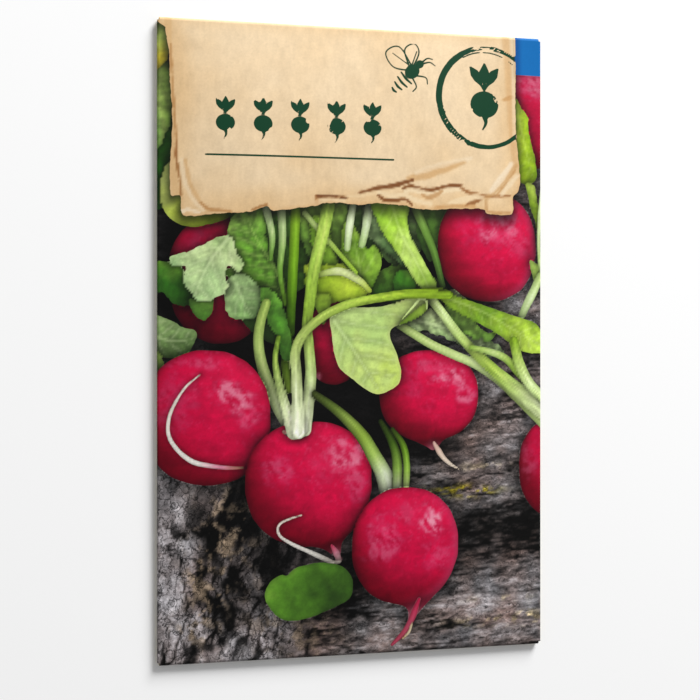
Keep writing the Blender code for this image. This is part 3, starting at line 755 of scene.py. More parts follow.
# %% The two radishes in front
radish((-38, -18.6), 15.6, 15.4, 16.4, 16.4, square=2.2, seed=7, blooms=[(0.38, 0.34, 0.33, 0.26, 0.72),
       (0.62, 0.02, 0.22, 0.22, 0.42), (-0.55, 0.2, 0.45, 0.55, 0.20), (-0.1, 0.8, 0.5, 0.12, 0.35)],
       light=(0.35, 0.42))
root([(-39.7, -8), (-43.2, -11), (-45.8, -15), (-47.3, -19), (-47.2, -23), (-45, -26.5), (-41.5, -29.2),
     (-37, -30.3), (-32.5, -30.8), (-29.2, -30.8)], [0.3, 0.5, 0.7, 0.8, 0.9, 1.0, 1.2, 1.2, 0.9, 0.5],
     ["f6e6d8", "fff2e6", "fdf3e4", "fff6ea", "fffaf0", "fff8f0", "e88aa4", "c98a6a"], seed=32, gloss=0.3,
     dark=0.3, depth=0.35, reach=0.5)
radish((-12.6, -34.2), 16.2, 15.8, 14.4, 16.4, square=2.25, seed=8, blooms=[(0.55, 0.45, 0.36, 0.34, 0.62),
       (-0.52, 0.18, 0.26, 0.34, 0.34), (0.75, -0.05, 0.2, 0.35, 0.35), (0.1, 0.2, 0.3, 0.3, 0.15)],
       light=(0.32, 0.45), tip=[(-8, -47.5), (-5, -54), 5.0, 1.4])
root([(-7.0, -50.6), (-6.0, -52.2), (-5, -54.4)], [0.8, 1.8, 1.2], ["cc3a5c", "dd8a9c", "e3b4b4"], seed=33,
     depth=0.2)
root([(-14.8, -42.8), (-17.4, -43.5), (-19.9, -44.6), (-20.7, -46), (-20, -47.9), (-17, -49.9),
     (-12.5, -52), (-9, -53.7), (-6.6, -54.8), (-5, -54.7)], [0.4, 0.5, 0.6, 0.7, 0.8, 0.9, 1.0, 1.2, 1.2,
     0.9], ["f2dcc8", "fbeedd", "fff6ea", "fffaf0", "fff8ec", "f6e4d0"], seed=34, gloss=0.3, dark=0.35,
     depth=0.35, reach=0.5)
# its crown, and the stalks that grow from it
root([(-19.2, -22.2), (-16.6, -23.3), (-13.6, -21.9)], [1.0, 1.8, 1.2], ["c98a80", "d9a890", "c88a8a"],
     seed=35, depth=0.3)
stalk([(-16.8, -22.4), (-19, -15.5), (-20.8, -9), (-21.4, -4), (-20.6, 1)], [3.2, 2.3, 1.7, 1.3, 1.0],
      ["eef2e0", "dce4c4", "a9bc7c", "86a04c", "6a882c"], seed=9, ridges=0.2)
stalk([(-14.0, -21.8), (-13.2, -15), (-12.5, -8), (-13.0, -1), (-13.4, 4), (-12.6, 11), (-11.6, 18),
      (-9.6, 26), (-7.8, 34.5)], [2.9, 2.8, 2.5, 2.3, 2.3, 2.6, 2.8, 2.8, 3.0], ["f0f3e4", "d4deb8",
      "b4c88c", "a0ba64", "8cac40", "98b848", "a5c458", "b4d064", "a0c450"], seed=10, ridges=0.2)
stalk([(-15.5, -22.4), (-15.8, -15), (-16.1, -8), (-16.4, -3), (-15, 0.8), (-12.4, 3.8), (-8.6, 6.6),
      (-4, 8.8), (0, 9.9), (6, 11.0), (12, 11.8), (17, 11.9), (24, 11.6)], [2.9, 2.6, 2.4, 2.3, 2.2, 2.0,
      2.0, 2.0, 1.9, 2.0, 2.1, 2.3, 1.6], ["f6f8f0", "e0e8c8", "c8d6a0", "a9bc70", "a5bc60", "a9c458",
      "a5c04c", "98b838", "8fae2c", "86a828"], seed=12, ridges=0.2)
print("two radishes in front:", covered())

# %% Stalks and radish at the bottom
stalk([(-11.6, -13), (-7, -16.2), (-3, -19.6), (1, -24), (4, -29), (6.4, -33.4), (8, -38.5)], [1.6, 2.2,
      2.8, 3.2, 3.8, 4.6], ["39431c", "56692c", "7b8f44", "86a040", "9dbb62", "dce8d0", "eef4e8"], seed=25,
      dark=0.6)
stalk([(5.5, -20), (8.4, -25), (9.8, -30), (9.8, -38)], [1.2, 2.0, 2.4, 2.4], ["22300c", "3f5c18", "86a84c",
      "e0ead8"], seed=26, dark=0.6)
stalk([(8.6, -22), (11.4, -26), (12.4, -31), (12.2, -38)], [1.0, 1.6, 1.6, 1.5], ["2c3c10", "5c8020",
      "8fb44c", "cfe0a8"], seed=27, dark=0.5)
radish((12, -51.2), 13.9, 14.5, 14.6, 14.9, square=2.12, seed=9, blooms=[(0.50, 0.42, 0.26, 0.26, 0.95),
       (-0.42, 0.10, 0.38, 0.44, 0.42), (0.62, -0.18, 0.3, 0.3, 0.35), (0.05, 0.55, 0.5, 0.25, 0.2)],
       light=(0.28, 0.45), tip=[(17.2, -61), (14.2, -70), 5.2, 1.8], rim=0.45)
root([(16.2, -65), (15.2, -67.6), (14.2, -70.4), (12.4, -73.4), (9.4, -76.4)], [0.8, 1.8, 1.6, 1.4, 0.8],
     ["c41c48", "cc3a5c", "d0506c", "c94a62", "b8405a"], seed=36, depth=0.25)
root([(14.4, -71.4), (13.8, -73.4), (12.2, -75)], [0.5, 0.7, 0.5], ["e8d0a8", "f0dcb4", "d8b888"], seed=37,
     depth=0.2)
leaf([(-23.7, -62), (-22.4, -59), (-19.8, -57.4), (-18.2, -57.6), (-16, -55.8), (-11, -54.7), (-7, -55),
     (-4, -56), (-1.6, -59), (-1.8, -63.4), (-5, -65.6), (-10, -67.6), (-16, -69), (-20, -68),
     (-22.8, -65)], ["6a9c34", "44781c", "284e10", "16300a"], way=(0.9, -0.2), veins=0.05, rough=0.08,
     seed=31, bumps=0.12, midrib=[(-4, -57), (-9, -61), (-16, -62.5), (-22, -62)], vein_gap=5,
     vein_colour="6fa040")
print("whole heap:", covered())

# %% [markdown]
# ### Kraft label
# The top of the picture is a torn piece of brown kraft paper. Where paper tears, its layers part: a pale
# torn lip shows beside a thin dark shadow. The tear could be modelled as real thin sheets, but on the real
# packet it is only printed, so each crease below is one soft line of tint on the kraft.

# %% Tools for the label
INK_GREEN = "0e3f27"


def patch(layer, outline, paint, depth=0.3, reach=1.2, rough=0.0, frill=1.0, seed=60, steps=4):
    """A flat shape with a smooth, slightly ragged outline; paint is a hex colour or a function."""
    path = curve(outline, closed=True, steps=steps)
    where = near(path)
    x, y = art_x[where], art_y[where]
    edge = within(x, y, path) + rough * mottle(x, y, frill, seed)
    colour = paint(x, y, edge) if callable(paint) else np.tile(rgb(paint), (len(where), 1))
    lay(layer, where, edge, colour, depth, reach)


def kraft(x, y, edge):
    """Brown kraft paper: cloudy, a little darker where it was torn and handled."""
    handled = 0.28 + 0.5 * ease(8, 0, edge) + 0.22 * mottle(x, y, 16, 61)
    body = blend(rgb("ecd3ae"), rgb("e2bf8f"), ease(0, 1, handled))
    body = body * (1 + 0.022 * mottle(x, y, 3.0, 62) + 0.018 * mottle(x, y / 3, 0.7, 63, 2))[:, None]
    return blend(body, rgb("d0a26c"), 0.35 * ease(0.9, 0.0, edge + 0.4 * mottle(x, y, 1.5, 64, 2)))


def crease(points, widths, colour, strength=0.8, soft=0.5):
    """A soft line of tint on the label."""
    path = curve(points)
    where = near(path, 3.5)
    x, y = art_x[where], art_y[where]
    dist, _, along, run = follow(x, y, path)
    half = width_along(widths, along / run) / 2
    share = strength * ease(half + soft, half - 0.05, dist + 0.12 * mottle(x, y, 1.2, 65, 2))
    inks["label"][where] = blend(inks["label"][where], rgb(colour), share)


def ink_line(points, widths, colour=INK_GREEN):
    """A line drawn with a brush pen."""
    path = curve(points)
    where = near(path, 2.5)
    dist, _, along, run = follow(art_x[where], art_y[where], path)
    edge = width_along(widths, along / run) / 2 - dist
    lay("stamp", where, edge, np.tile(rgb(colour), (len(where), 1)), depth=0)


# %% Lay the torn kraft label with its shadow
label_outline = [
    (-47.4, 81), (-48.1, 76), (-47.2, 70), (-46.9, 62), (-46.4, 55), (-46.6, 48), (-47, 41), (-46.8, 35.6),
    (-45.6, 35.3), (-44.4, 35.2), (-44.3, 32.6), (-43.8, 30.6), (-40, 30.5), (-36.5, 31), (-32, 31.3),
    (-28, 31.6), (-25, 32.6), (-23.5, 33.0), (-22, 32.1), (-19, 32.3), (-15, 32.9), (-11, 33.5), (-9, 34.1),
    (-4, 34.3), (0, 33.9), (4, 34.4), (8, 34.2), (12, 34.1), (14, 33.5), (20, 33.2), (26, 33.7), (31, 33.8),
    (33.7, 33.7), (34.4, 32.7), (38, 32.4), (41, 32.5), (41.9, 33.8), (41.8, 37.2), (43.1, 38.4),
    (43.8, 40.5), (43.6, 45), (42.9, 52), (42.7, 60), (42.9, 70), (43.2, 81)]
shadow_path = curve(label_outline, closed=True, steps=3)
shaded = near(shadow_path, 6)
under = within(art_x[shaded] + 0.3, art_y[shaded] + 1.3, shadow_path)
for layer in LAYERS:
    inks[layer][shaded] *= (1 - 0.62 * ease(-3.2, 1.2, under))[:, None]
patch("label", label_outline, kraft, depth=0.25, reach=0.5, rough=0.16, frill=1.1)
print("label covers", round(100 * float((edges["label"] > 0).mean()), 1), "percent of the points")

# %% Creases and torn lips of the label
creases = [  # points, widths, colour, strength, softness
    ([(-47.5, 78), (-47.2, 66), (-46.3, 54), (-46.0, 44), (-45.6, 36)], [1.6, 1.4, 1.0, 1.2, 1.6], "d9b27e",
     0.75, 0.4),
    ([(-46.8, 72), (-46.3, 62), (-45.8, 54), (-45.3, 48.5)], [0.2, 0.3, 0.3, 0.3], "b3814c", 0.75, 0.3),
    ([(-45.4, 48.5), (-45.5, 46), (-45.4, 43)], [0.5, 0.6, 0.3], "9a6436", 0.85, 0.25),
    ([(-45.2, 43), (-44.6, 39), (-44.3, 35.4)], [0.3, 0.4, 0.5], "94602f", 0.8, 0.3),
    ([(-44.2, 44), (-43.2, 38.5), (-41.2, 34.5), (-39.0, 32)], [0.4, 0.8, 0.8, 0.4], "f0d9b6", 0.7, 0.7),
    ([(-43.4, 44), (-42.3, 38.4), (-40.2, 34.3), (-38.0, 32)], [0.3, 0.5, 0.5, 0.3], "c9995f", 0.5, 0.6),
    ([(-44.2, 31.4), (-42.6, 31.9), (-40, 31.2)], [0.6, 0.7, 0.3], "f3dfc0", 0.8, 0.3),
    ([(-39.6, 33.6), (-37.6, 32.1), (-34, 31.8), (-32.4, 31.5)], [0.4, 0.5, 0.5, 0.2], "b07a45", 0.7, 0.35),
    ([(-27, 32.2), (-25, 33.0), (-23.6, 33.4)], [0.3, 0.5, 0.3], "a06a38", 0.75, 0.3),
    ([(40.2, 79), (40.8, 70), (41.2, 60), (41.8, 50), (42.6, 45)], [1.4, 1.2, 1.0, 0.8, 0.5], "d2a671",
     0.55, 0.9),
    ([(39.3, 62), (40.7, 62.5), (41.8, 62.9)], [0.3, 0.7, 0.3], "c6945c", 0.7, 0.5),
    ([(41.9, 79), (42.2, 66), (42.3, 52)], [0.6, 0.6, 0.4], "f2dfc0", 0.5, 0.5),
    ([(28, 45.6), (22, 43.6), (16, 41.6), (13, 40.8)], [0.4, 1.4, 1.8, 0.8], "cfa36d", 0.75, 0.8),
    ([(30, 46.6), (22, 44.6), (15, 42.2)], [0.3, 0.8, 0.5], "f3e0c2", 0.55, 0.6),
    ([(0, 36.8), (4, 38.0), (9, 38.9), (14, 40.5)], [0.4, 0.9, 0.9, 0.7], "7c4a26", 0.95, 0.35),
    ([(-3, 36), (0, 36.2), (5, 37.3), (10, 38.0), (14, 39.5)], [0.3, 0.8, 0.9, 0.8, 0.4], "ecd0a4", 0.7,
     0.3),
    ([(-11, 35.9), (-7, 35.9), (-3.4, 35.5)], [0.5, 0.6, 0.4], "74421f", 1.0, 0.25),
    ([(-11.2, 35.9), (-10.9, 33.6)], [0.3, 0.2], "a8713f", 0.7, 0.25),
    ([(-9.5, 35), (-6, 35), (-3.8, 34.8)], [0.5, 0.7, 0.4], "efd5ab", 0.7, 0.3),
    ([(5, 36.4), (6.5, 35.4), (9.5, 35.4), (12, 35.6), (13.8, 34.3)], [0.5, 0.7, 0.6, 0.6, 0.3], "7f4c26",
     0.95, 0.3),
    ([(5, 37.2), (8, 36.4), (12, 36.6), (15, 35.4), (19, 34.6)], [0.4, 0.8, 0.8, 0.9, 0.6], "f0d8b0", 0.8,
     0.4),
    ([(11.5, 38.4), (13.5, 39.0), (16, 38.3), (20, 38.4), (24, 39.3), (27.2, 39.6)], [0.5, 0.7, 0.6, 0.7,
     0.7, 0.4], "7f4c26", 0.95, 0.35),
    ([(12, 37.6), (15, 37.9), (19, 37.0), (23, 38.2), (27, 38.4)], [0.5, 0.9, 0.8, 0.9, 0.5], "f2dcb6", 0.8,
     0.4),
    ([(16.5, 36.9), (18.2, 36.3), (20.2, 36.9), (22, 38)], [0.3, 0.7, 0.7, 0.3], "b98753", 0.7, 0.4),
    ([(27.5, 38.8), (29.2, 37.9), (32, 37.3), (36, 37.1), (41, 37.4)], [0.5, 0.6, 0.4, 0.3, 0.3], "955d30",
     0.85, 0.35),
    ([(28.5, 34.6), (31, 35.6), (33.2, 36.4)], [0.4, 0.9, 0.4], "8f5a30", 0.85, 0.3),
    ([(24, 35), (28, 36), (31.5, 36.9), (34, 36.2)], [0.5, 1.2, 1.0, 0.6], "efd6ae", 0.8, 0.5),
    ([(20, 33.8), (26, 34.3), (31, 34.4)], [0.4, 0.7, 0.4], "c6935b", 0.6, 0.4),
    ([(34.2, 35.8), (34.4, 33.6), (36, 32.9), (41, 33)], [0.4, 0.4, 0.4, 0.3], "b27f4a", 0.6, 0.3),
    ([(34, 36.2), (37, 39), (40.5, 42.8), (43, 45.4)], [0.4, 0.9, 1.1, 0.5], "c99c66", 0.6, 0.6),
    ([(35.5, 38.2), (38.2, 41.4), (41.4, 45.6)], [0.5, 1.3, 0.6], "f4e2c6", 0.75, 0.6),
    ([(38.6, 37.6), (41, 40.4), (43.2, 42.6)], [0.5, 1.0, 0.5], "f1dbb8", 0.7, 0.5),
    ([(37.2, 37.4), (40, 40.8), (42.6, 44.2)], [0.3, 0.4, 0.3], "b98650", 0.6, 0.3)]
for points, widths, colour, strength, soft in creases:
    crease(points, widths, colour, strength, soft)
print(len(creases), "creases and lips")

# %% [markdown]
# ### Stamps
# The title and the seal of a packet look stamped on the kraft in dark green. In their place stand small
# stamped radishes over a rule, and one more in the ring. The ring is one turn of a flat brush: it is full
# where the brush starts, and bristle lines open up where the ink runs out. The bee is a pen drawing. Type
# would need a font; shapes of this kind need only lines and ellipses.

# %% Brushed ring
RING_X, RING_Y, RING_RADIUS = 34.5, 62.4, 12.9
LABEL_END = 42.6
where = near([(RING_X - RING_RADIUS, RING_Y - RING_RADIUS),
              (RING_X + RING_RADIUS, RING_Y + RING_RADIUS)], 3)
x, y = art_x[where] - RING_X, art_y[where] - RING_Y
r, turn = np.hypot(x, y), np.degrees(np.arctan2(y, x)) % 360
half = 0.50 + 0.32 * ease(60, 150, turn) * ease(290, 215, turn) + 0.10 * ease(290, 350, turn)
edge = half - np.abs(r - RING_RADIUS - 0.25 * np.sin(np.radians(turn * 2 + 40)))
edge += 0.05 * mottle(turn / 6, r * 3, 1.0, 70, 2)
dry = ease(40, 80, turn) * ease(130, 95, turn) + ease(185, 210, turn) * ease(262, 235, turn)
edge -= 0.9 * dry * ease(0.1, 0.6, mottle(turn / 14, r * 4.2, 1.0, 71, 2))
bristles = 0.16 - np.abs(r - RING_RADIUS + 0.95 + 0.4 * np.cos(np.radians(turn - 60)))
bristles -= 0.36 * ease(0.2, -0.3, mottle(turn / 9, r, 1.0, 72, 2))
edge = np.minimum(np.maximum(edge, np.where(dry > 0.15, bristles, -1)), LABEL_END - art_x[where])
lay("stamp", where, edge, np.tile(rgb(INK_GREEN), (len(where), 1)), depth=0)
print("ring of radius", RING_RADIUS, "mm")


# %% Brushes for the stamps
def blot(outline, wear=0.0, seed=90):
    """A filled stamped shape, with pinholes where the stamp took too little ink."""
    path = curve(outline, closed=True)
    where = near(path, 2)
    x, y = art_x[where], art_y[where]
    edge = within(x, y, path)
    edge = np.where(edge > 0, edge - wear * ease(0.3, 0.7, mottle(x, y, 1.1, seed, 3)), edge)
    lay("stamp", where, edge, np.tile(rgb(INK_GREEN), (len(where), 1)), depth=0)


def ellipse(cx, cy, across, up, lean):
    """Eight points round an ellipse that leans by an angle in degrees."""
    turn = np.radians(np.arange(0, 360, 45))
    x, y = across * np.cos(turn), up * np.sin(turn)
    cos, sin = math.cos(math.radians(lean)), math.sin(math.radians(lean))
    return np.stack([cx + x * cos - y * sin, cy + x * sin + y * cos], 1)


def stamped_radish(cx, cy, size, wear=0.6):
    """A round root with a tail and three leaves."""
    blot(ellipse(cx, cy - 0.1 * size, 0.26 * size, 0.23 * size, 0), wear, seed=91)
    tail = ((0, -0.30), (0.02, -0.42), (-0.05, -0.55))
    ink_line([(cx + dx * size, cy + dy * size) for dx, dy in tail], [0.10 * size, 0.05 * size, 0.02 * size])
    foot, tip = cy + 0.14 * size, 0.46 * size
    for lean in (-32, 2, 34):
        dx, dy = math.sin(math.radians(lean)), math.cos(math.radians(lean))
        bend = (cx + dx * tip * 0.5, foot + dy * tip * 0.55)
        ink_line([(cx, foot), bend, (cx + dx * tip, foot + dy * tip)],
                 [share * size for share in (0.03, 0.05, 0.15, 0.16, 0.04)])


# %% Stamp the radishes and the rule
TITLE_LEFT, TITLE_PITCH, TITLE_Y = -33.6, 9.3, 54.2
for k in range(5):
    stamped_radish(TITLE_LEFT + TITLE_PITCH * k, TITLE_Y, 9.0)
stamped_radish(RING_X - 0.6, RING_Y - 0.4, 15.0, wear=0.8)
ink_line([(-38.4, 45.4), (-15, 45.4), (9, 45.4)], [0.45, 0.45])
print("stamps cover", round(100 * float((edges["stamp"] > 0).mean()), 2), "percent of the points")

# %% Draw the bee
# a breast and a head, four bars of the tail, two wings with a rib each, two legs and two feelers
blot(ellipse(14.4, 68.0, 2.1, 1.7, 40))
blot(ellipse(16.5, 70.0, 1.1, 1.0, 40))
for k, reach in enumerate((1.75, 1.6, 1.2, 0.7)):
    cx, cy = 12.8 - 1.1 * k, 66.3 - 1.05 * k
    dx, dy = 0.75 * reach, 0.8 * reach
    ink_line([(cx + dx, cy - dy), (cx - 0.15, cy - 0.15), (cx - dx, cy + dy)], [0.4, 0.66, 0.4])
wings = (((7.6, 72.6), (11.2, 74.2), (9.4, 69.0)), ((15.2, 75.2), (16.4, 73.0), (12.6, 73.4)))
for tip, bend, back in wings:
    ink_line([(14.6, 69.0), bend, tip, back, (14.0, 68.2)], [0.4, 0.34, 0.32, 0.34, 0.4])
    ink_line([(14.2, 69.2), ((bend[0] + tip[0]) / 2, (bend[1] + tip[1]) / 2 - 0.9)], [0.3, 0.26])
limbs = (((15.6, 67.0), (18.0, 66.6), (18.4, 65.0)), ((14.4, 66.4), (15.4, 64.2), (14.4, 62.9)),
         ((17.2, 70.6), (18.6, 71.6), (20.0, 71.4)), ((17.4, 70.2), (19.2, 70.6), (20.6, 69.8)))
for limb in limbs:
    ink_line(limb, [0.42, 0.34, 0.28])
print("bee drawn with", len(wings), "wings and", len(limbs), "limbs")

# %% Blue tab in the top right corner
# the real one carries a number; here it is plain
TAB_LEFT, TAB_BOTTOM = 42.9, 68.7
where = near([(43, 68.8), (52, 81)])
edge = np.minimum(art_x[where] - TAB_LEFT, art_y[where] - TAB_BOTTOM)
tab_blue = blend(rgb("08549a"), rgb("0c6db6"), ease(43.2, 45.0, art_x[where]))
lay("stamp", where, edge, tab_blue, depth=0.25, reach=0.5)
print("tab", round(PACKET_WIDTH / 2 - TAB_LEFT, 1), "x", round(PACKET_HEIGHT / 2 - TAB_BOTTOM, 1), "mm")

# %% [markdown]
# ## From points to print
# The painted layers go onto the mesh as colour attributes. Offset ink lies on the outside of the paper
# only, so each attribute's fourth value, the distance inside its outline, is far below zero on the
# inside, on the back and at the flaps, and bare grass paper shows there.


# %% Store the layers on the mesh
def linear(srgb):
    """sRGB values turned into the linear values that shaders use."""
    srgb = np.asarray(srgb)
    return np.where(srgb <= 0.04045, srgb / 12.92, ((srgb + 0.055) / 1.055) ** 2.4)


def hex_colour(code):
    """A hex colour as a linear colour with alpha, for a shader socket."""
    return (*linear(rgb(code)), 1.0)


PRINT_TURNS = 2.2  # the print runs round each fold this many roll radii, about two thirds of the turn
total_points = len(packet_mesh.vertices)
printed = (art_x > LEFT_X - PRINT_TURNS * SIDE_ROLL) & (art_x < RIGHT_X + PRINT_TURNS * SEAM_ROLL)
printed &= np.abs(art_y) < END_Y + PRINT_TURNS * END_ROLL
for layer in LAYERS:
    values = np.zeros((total_points, 4), np.float32)
    values[:, 3] = NOT_PRINTED
    values[:outer_count, :3] = linear(np.clip(inks[layer], 0, 1))
    values[:outer_count, 3] = np.where(printed, np.clip(edges[layer], NOT_PRINTED, -NOT_PRINTED), NOT_PRINTED)
    attribute = packet_mesh.attributes.new("ink_" + layer, "FLOAT_COLOR", "POINT")
    attribute.data.foreach_set("color", values.ravel())
print("stored", len(LAYERS), "layers on", total_points, "points")

# %% [markdown]
# ## Materials
# Everything here is made of four things: grass paper, its offset ink, seed coats and dried glue. Each gets
# a principled material whose patterns are measured in millimetres of the object, so that a fibre or a
# wrinkle has its real size.


# %% Small tools for materials
def add(tree, kind, inputs=None, **settings):
    """Adds a node: settings are its properties, inputs are links or constants by socket name or number."""
    made = tree.nodes.new("ShaderNode" + kind)
    for name, value in settings.items():
        setattr(made, name, value)
    for name, value in (inputs or {}).items():
        if isinstance(value, bpy.types.NodeSocket):
            tree.links.new(value, made.inputs[name])
        else:
            made.inputs[name].default_value = value
    return made


def mixed(tree, share, first, second, how="MIX"):
    """A colour between two others; inputs 6 and 7 and output 2 are the colour sockets of a Mix node."""
    return add(tree, "Mix", {0: share, 6: first, 7: second}, data_type="RGBA", blend_type=how).outputs[2]


def remap(tree, value, low, high, to_low=0.0, to_high=1.0):
    """A value moved from one range to another, and clamped to it."""
    ends = {"Value": value, "From Min": low, "From Max": high, "To Min": to_low, "To Max": to_high}
    return add(tree, "MapRange", ends).outputs[0]


def noise(tree, where, scale, detail=2.0, roughness=0.5):
    """Noise from 0 to 1 with 'scale' lumps per unit of its coordinate."""
    ends = {"Vector": where, "Scale": scale, "Detail": detail, "Roughness": roughness}
    return add(tree, "TexNoise", ends).outputs[0]


def new_material(name):
    """An empty principled material, with a coordinate in millimetres of the object."""
    material = bpy.data.materials.new(name)
    material.use_nodes = True
    tree = material.node_tree
    where = add(tree, "TexCoord").outputs["Object"]
    mm = add(tree, "VectorMath", {0: where, 1: (1000.0, 1000.0, 1000.0)}, operation="MULTIPLY").outputs[0]
    return material, tree, tree.nodes["Principled BSDF"], mm


print("material tools ready")

# %% [markdown]
# ### Fine cracks of the old boards
# The net of points is too wide for the thinnest cracks and the finest grain of the printed boards, so the
# material draws those. It reads the colour and the way of the grain from the painted layer.


# %% Fine cracks and grain
def maths(tree, operation, first, second):
    """One arithmetic step on two values."""
    return add(tree, "Math", {0: first, 1: second}, operation=operation).outputs[0]


def cracked(tree, where, tone, upright):
    """A tone darkened by cracks a quarter of a millimetre wide.

    On the upright boards they are the borders of bent Voronoi cells, and on the level ones they are
    where very stretched noise passes through its middle.
    """
    bend = add(tree, "TexNoise", {"Vector": where, "Scale": 0.5, "Detail": 3.0}).outputs["Color"]
    bent = add(tree, "VectorMath", {0: bend, "Scale": 3.5}, operation="SCALE").outputs[0]
    bent = add(tree, "VectorMath", {0: where, 1: bent}, operation="ADD").outputs[0]
    tall = add(tree, "Mapping", {"Vector": bent, "Scale": (0.42, 0.20, 1.0)}).outputs[0]
    cells = add(tree, "TexVoronoi", {"Vector": tall, "Scale": 1.0}, feature="DISTANCE_TO_EDGE").outputs[0]
    cracks = remap(tree, cells, 0.015, 0.07, 0.22, 1.0)
    wide = add(tree, "Mapping", {"Vector": bent, "Scale": (0.035, 0.42, 1.0)}).outputs[0]
    centred = maths(tree, "SUBTRACT", noise(tree, wide, 1.0, 3.0), 0.5)
    off = add(tree, "Math", {0: centred}, operation="ABSOLUTE").outputs[0]
    slits = remap(tree, off, 0.004, 0.02, 0.30, 1.0)
    fine = add(tree, "Mapping", {"Vector": bent, "Scale": (0.22, 1.3, 1.0)}).outputs[0]
    streaks = remap(tree, noise(tree, fine, 1.0, 4.0, 0.7), 0.36, 0.66, 0.50, 1.62)
    upright_grain = add(tree, "Mapping", {"Vector": bent, "Scale": (1.1, 0.5, 1.0)}).outputs[0]
    lumps = remap(tree, noise(tree, upright_grain, 1.0, 4.0, 0.7), 0.36, 0.66, 0.62, 1.42)
    level = maths(tree, "MULTIPLY", slits, streaks)
    stood = maths(tree, "MULTIPLY", cracks, lumps)
    share = add(tree, "Mix", {0: upright, 2: level, 3: stood}, data_type="FLOAT").outputs[0]
    return maths(tree, "MULTIPLY", tone, share)


print("crack tools ready")

# %% [markdown]
# ### Grass paper, offset printed
# Grass paper is uncoated: pale straw colour with short darker fibres, and it scatters light evenly. The
# inks sink into it, so the print is only a little glossier than the bare sheet. One material holds both:
# each ink layer covers the bare paper where its stored distance is above zero.

# %% Make the printed paper
paper, tree, surface, mm = new_material("grass_paper_offset_printed")
fibre_way = {"Vector": mm, "Scale": (0.25, 1.6, 1.0), "Rotation": (0, 0, 0.4)}
stretched = add(tree, "Mapping", fibre_way).outputs[0]
fibres = remap(tree, noise(tree, stretched, 1.1, 3.0, 0.6), 0.60, 0.72)
cloud = noise(tree, mm, 0.12, 3.0)
bare = mixed(tree, remap(tree, cloud, 0.3, 0.7), hex_colour("d6cba6"), hex_colour("cdc197"))
colour = mixed(tree, remap(tree, fibres, 0, 1, 0, 0.45), bare, hex_colour("8f8a52"))
along_grain = add(tree, "Mapping", {"Vector": mm, "Scale": (0.8, 1.7, 1.0)}).outputs[0]
# how much each layer's fine texture varies, as a share of its tone: boards most, the label least
TEXTURES = {"wood": (along_grain, 0.25), "leaf": (mm, 0.08), "stem": (mm, 0.08), "radish": (mm, 0.07),
            "root": (mm, 0.05), "label": (mm, 0.05), "stamp": (mm, 0.03)}
INK_DENSITY = 0.94
SOFT_EDGE = 0.07  # millimetres over which an outline fades, each way
for layer in LAYERS:
    where, strength = TEXTURES[layer]
    ink = add(tree, "Attribute", attribute_name="ink_" + layer)
    tone = remap(tree, noise(tree, where, 1.7, 3.0, 0.65), 0.3, 0.7,
                 INK_DENSITY * (1 - strength), INK_DENSITY * (1 + strength))
    if layer == "wood":
        tone = cracked(tree, mm, tone, remap(tree, ink.outputs["Alpha"], LEVEL_BOARD, UPRIGHT_BOARD))
    toned = add(tree, "VectorMath", {0: ink.outputs["Color"], "Scale": tone}, operation="SCALE").outputs[0]
    colour = mixed(tree, remap(tree, ink.outputs["Alpha"], -SOFT_EDGE, SOFT_EDGE), colour, toned)
tooth = noise(tree, mm, 2.4, 3.0, 0.6)
bump = add(tree, "Bump", {"Height": tooth, "Strength": 0.12, "Distance": 0.00004})
tree.links.new(colour, surface.inputs["Base Color"])
tree.links.new(bump.outputs[0], surface.inputs["Normal"])
surface.inputs["Roughness"].default_value = 0.6
surface.inputs["Specular IOR Level"].default_value = 0.12
packet_mesh.materials.append(paper)
print(paper.name, "has", len(tree.nodes), "nodes")

# %% [markdown]
# ### Seed coats
# A radish seed is a dry, reddish brown ball with a finely wrinkled coat, matt with a faint shine. The
# wrinkles are about a fifth of a millimetre wide, and the same noise darkens and dents them.

# %% Make the seed coat
coat, tree, surface, mm = new_material("dry_radish_seed_coat")
tone = remap(tree, noise(tree, mm, 0.5, 2.0), 0.35, 0.65)
colour = mixed(tree, tone, hex_colour("8a5a3a"), hex_colour("b07c52"))
wrinkles = noise(tree, mm, 4.5, 3.0, 0.65)
colour = mixed(tree, remap(tree, wrinkles, 0.45, 0.30, 0.0, 0.5), colour, hex_colour("5a3622"))
bump = add(tree, "Bump", {"Height": wrinkles, "Strength": 0.5, "Distance": 0.0001})
tree.links.new(colour, surface.inputs["Base Color"])
tree.links.new(bump.outputs[0], surface.inputs["Normal"])
surface.inputs["Roughness"].default_value = 0.6
print(coat.name, "has", len(tree.nodes), "nodes")

# %% [markdown]
# ### Dried paper glue
# Paste for paper dries to a thin, milky, slightly glossy film. Slow noise gives it thick and thin places.

# %% Make the dried glue
paste, tree, surface, mm = new_material("dried_paper_paste")
colour = mixed(tree, noise(tree, mm, 0.8, 2.0), hex_colour("d9d2bd"), hex_colour("c9bf9f"))
tree.links.new(colour, surface.inputs["Base Color"])
surface.inputs["Roughness"].default_value = 0.4
print(paste.name, "has", len(tree.nodes), "nodes")

# %% [markdown]
# ## Put the pieces in the shared frame
# The seeds and the glue lines keep the shapes that came with the frame and only change their materials. The
# folded sheet is new here: it takes the place of the frame's sheet, which is hidden, and rides on the same
# body.

# %% Give the carried nodes their materials
counts = {"seed": 0, "glue": 0}
for name, thing in frame["nodes"].items():
    kind = "seed" if name.startswith("seed_") else "glue" if name.endswith("glue") else None
    if kind:
        thing.data.materials.clear()
        thing.data.materials.append(coat if kind == "seed" else paste)
        counts[kind] += 1
print(counts)

# %% The printed sheet stands for the CAD sheet
body_name = next(iter(frame["bodies"]))
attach(packet, body_name)
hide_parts("folded_sheet")
print("rides on", body_name)

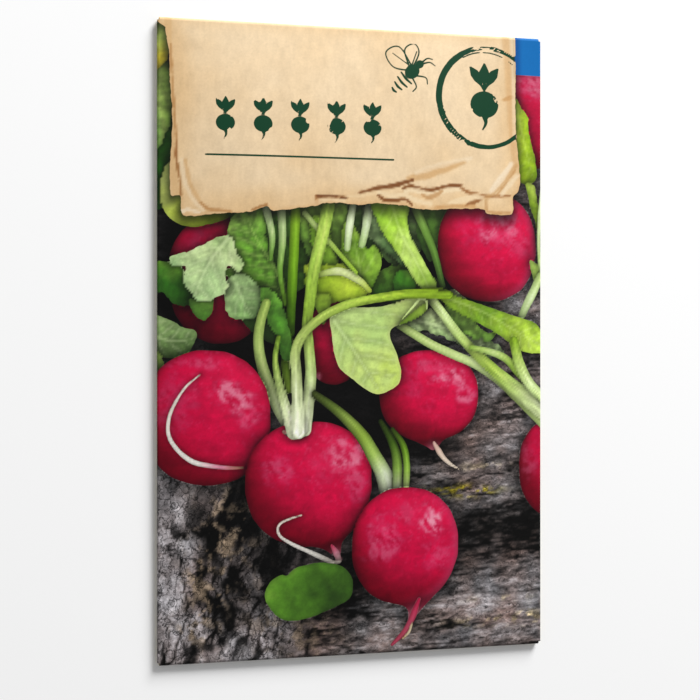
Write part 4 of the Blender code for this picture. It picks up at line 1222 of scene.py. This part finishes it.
# %% [markdown]
# ## Studio
# The packet lies on a white table under one soft light from the upper right, low enough for the thick edge
# to throw a shadow, and white walls fill the shadows. The camera looks down on it from a little to the
# left, through a long lens, so that the packet's sides run nearly level with each other.

# %% Table
TABLE_HALF = 2.0  # metres
TABLE_Z = -0.0002
table_mesh = bpy.data.meshes.new("white_table")
corners = [(TABLE_HALF * sx, TABLE_HALF * sy, TABLE_Z) for sx, sy in ((-1, -1), (1, -1), (1, 1), (-1, 1))]
table_mesh.from_pydata(corners, [], [(0, 1, 2, 3)])
table = bpy.data.objects.new("white_table", table_mesh)
bpy.context.scene.collection.objects.link(table)
laminate, tree, surface, mm = new_material("matt_white_laminate")
surface.inputs["Base Color"].default_value = (0.96, 0.96, 0.96, 1)
surface.inputs["Roughness"].default_value = 0.8
surface.inputs["Specular IOR Level"].default_value = 0.1
table_mesh.materials.append(laminate)
print("table", 2 * TABLE_HALF, "m wide")

# %% Lights
CENTRE = (0.0, 0.0, 0.0014)  # the middle of the packet, on the level of its edge


def soft_light(name, direction, distance, size, power):
    """A square soft box of this size, in metres, that faces the packet from a direction."""
    data = bpy.data.lights.new(name, "AREA")
    data.shape = "SQUARE"
    data.size = size
    data.energy = power
    lamp = bpy.data.objects.new(name, data)
    unit = np.array(direction) / np.linalg.norm(direction)  # its z axis is turned to point this way
    lamp.location = np.array(CENTRE) + unit * distance
    lamp.rotation_euler = (math.acos(unit[2]), 0, math.atan2(unit[0], -unit[1]))
    bpy.context.scene.collection.objects.link(lamp)
    return lamp


soft_light("key_softbox", (0.42, 0.78, 0.40), 1.8, 0.8, 53)
world = bpy.data.worlds.new("white_room")
world.use_nodes = True
world.node_tree.nodes["Background"].inputs["Color"].default_value = (1, 1, 1, 1)
world.node_tree.nodes["Background"].inputs["Strength"].default_value = 0.35
bpy.context.scene.world = world
bpy.context.scene.view_settings.view_transform = "Standard"
print("one soft box and a white room")

# %% Camera
TILT = math.radians(16.5)  # to the left of straight down
CAMERA_DISTANCE = 0.393  # metres
camera_data = bpy.data.cameras.new("camera")
camera_data.lens = 80.7
camera_data.shift_x = -0.0083
camera_data.shift_y = -0.0124
camera = bpy.data.objects.new("camera", camera_data)
camera.location = np.array(CENTRE) + CAMERA_DISTANCE * np.array((-math.sin(TILT), 0.0, math.cos(TILT)))
camera.rotation_euler = (0, -TILT, 0)
bpy.context.scene.collection.objects.link(camera)
bpy.context.scene.camera = camera
print("camera", CAMERA_DISTANCE, "m away")
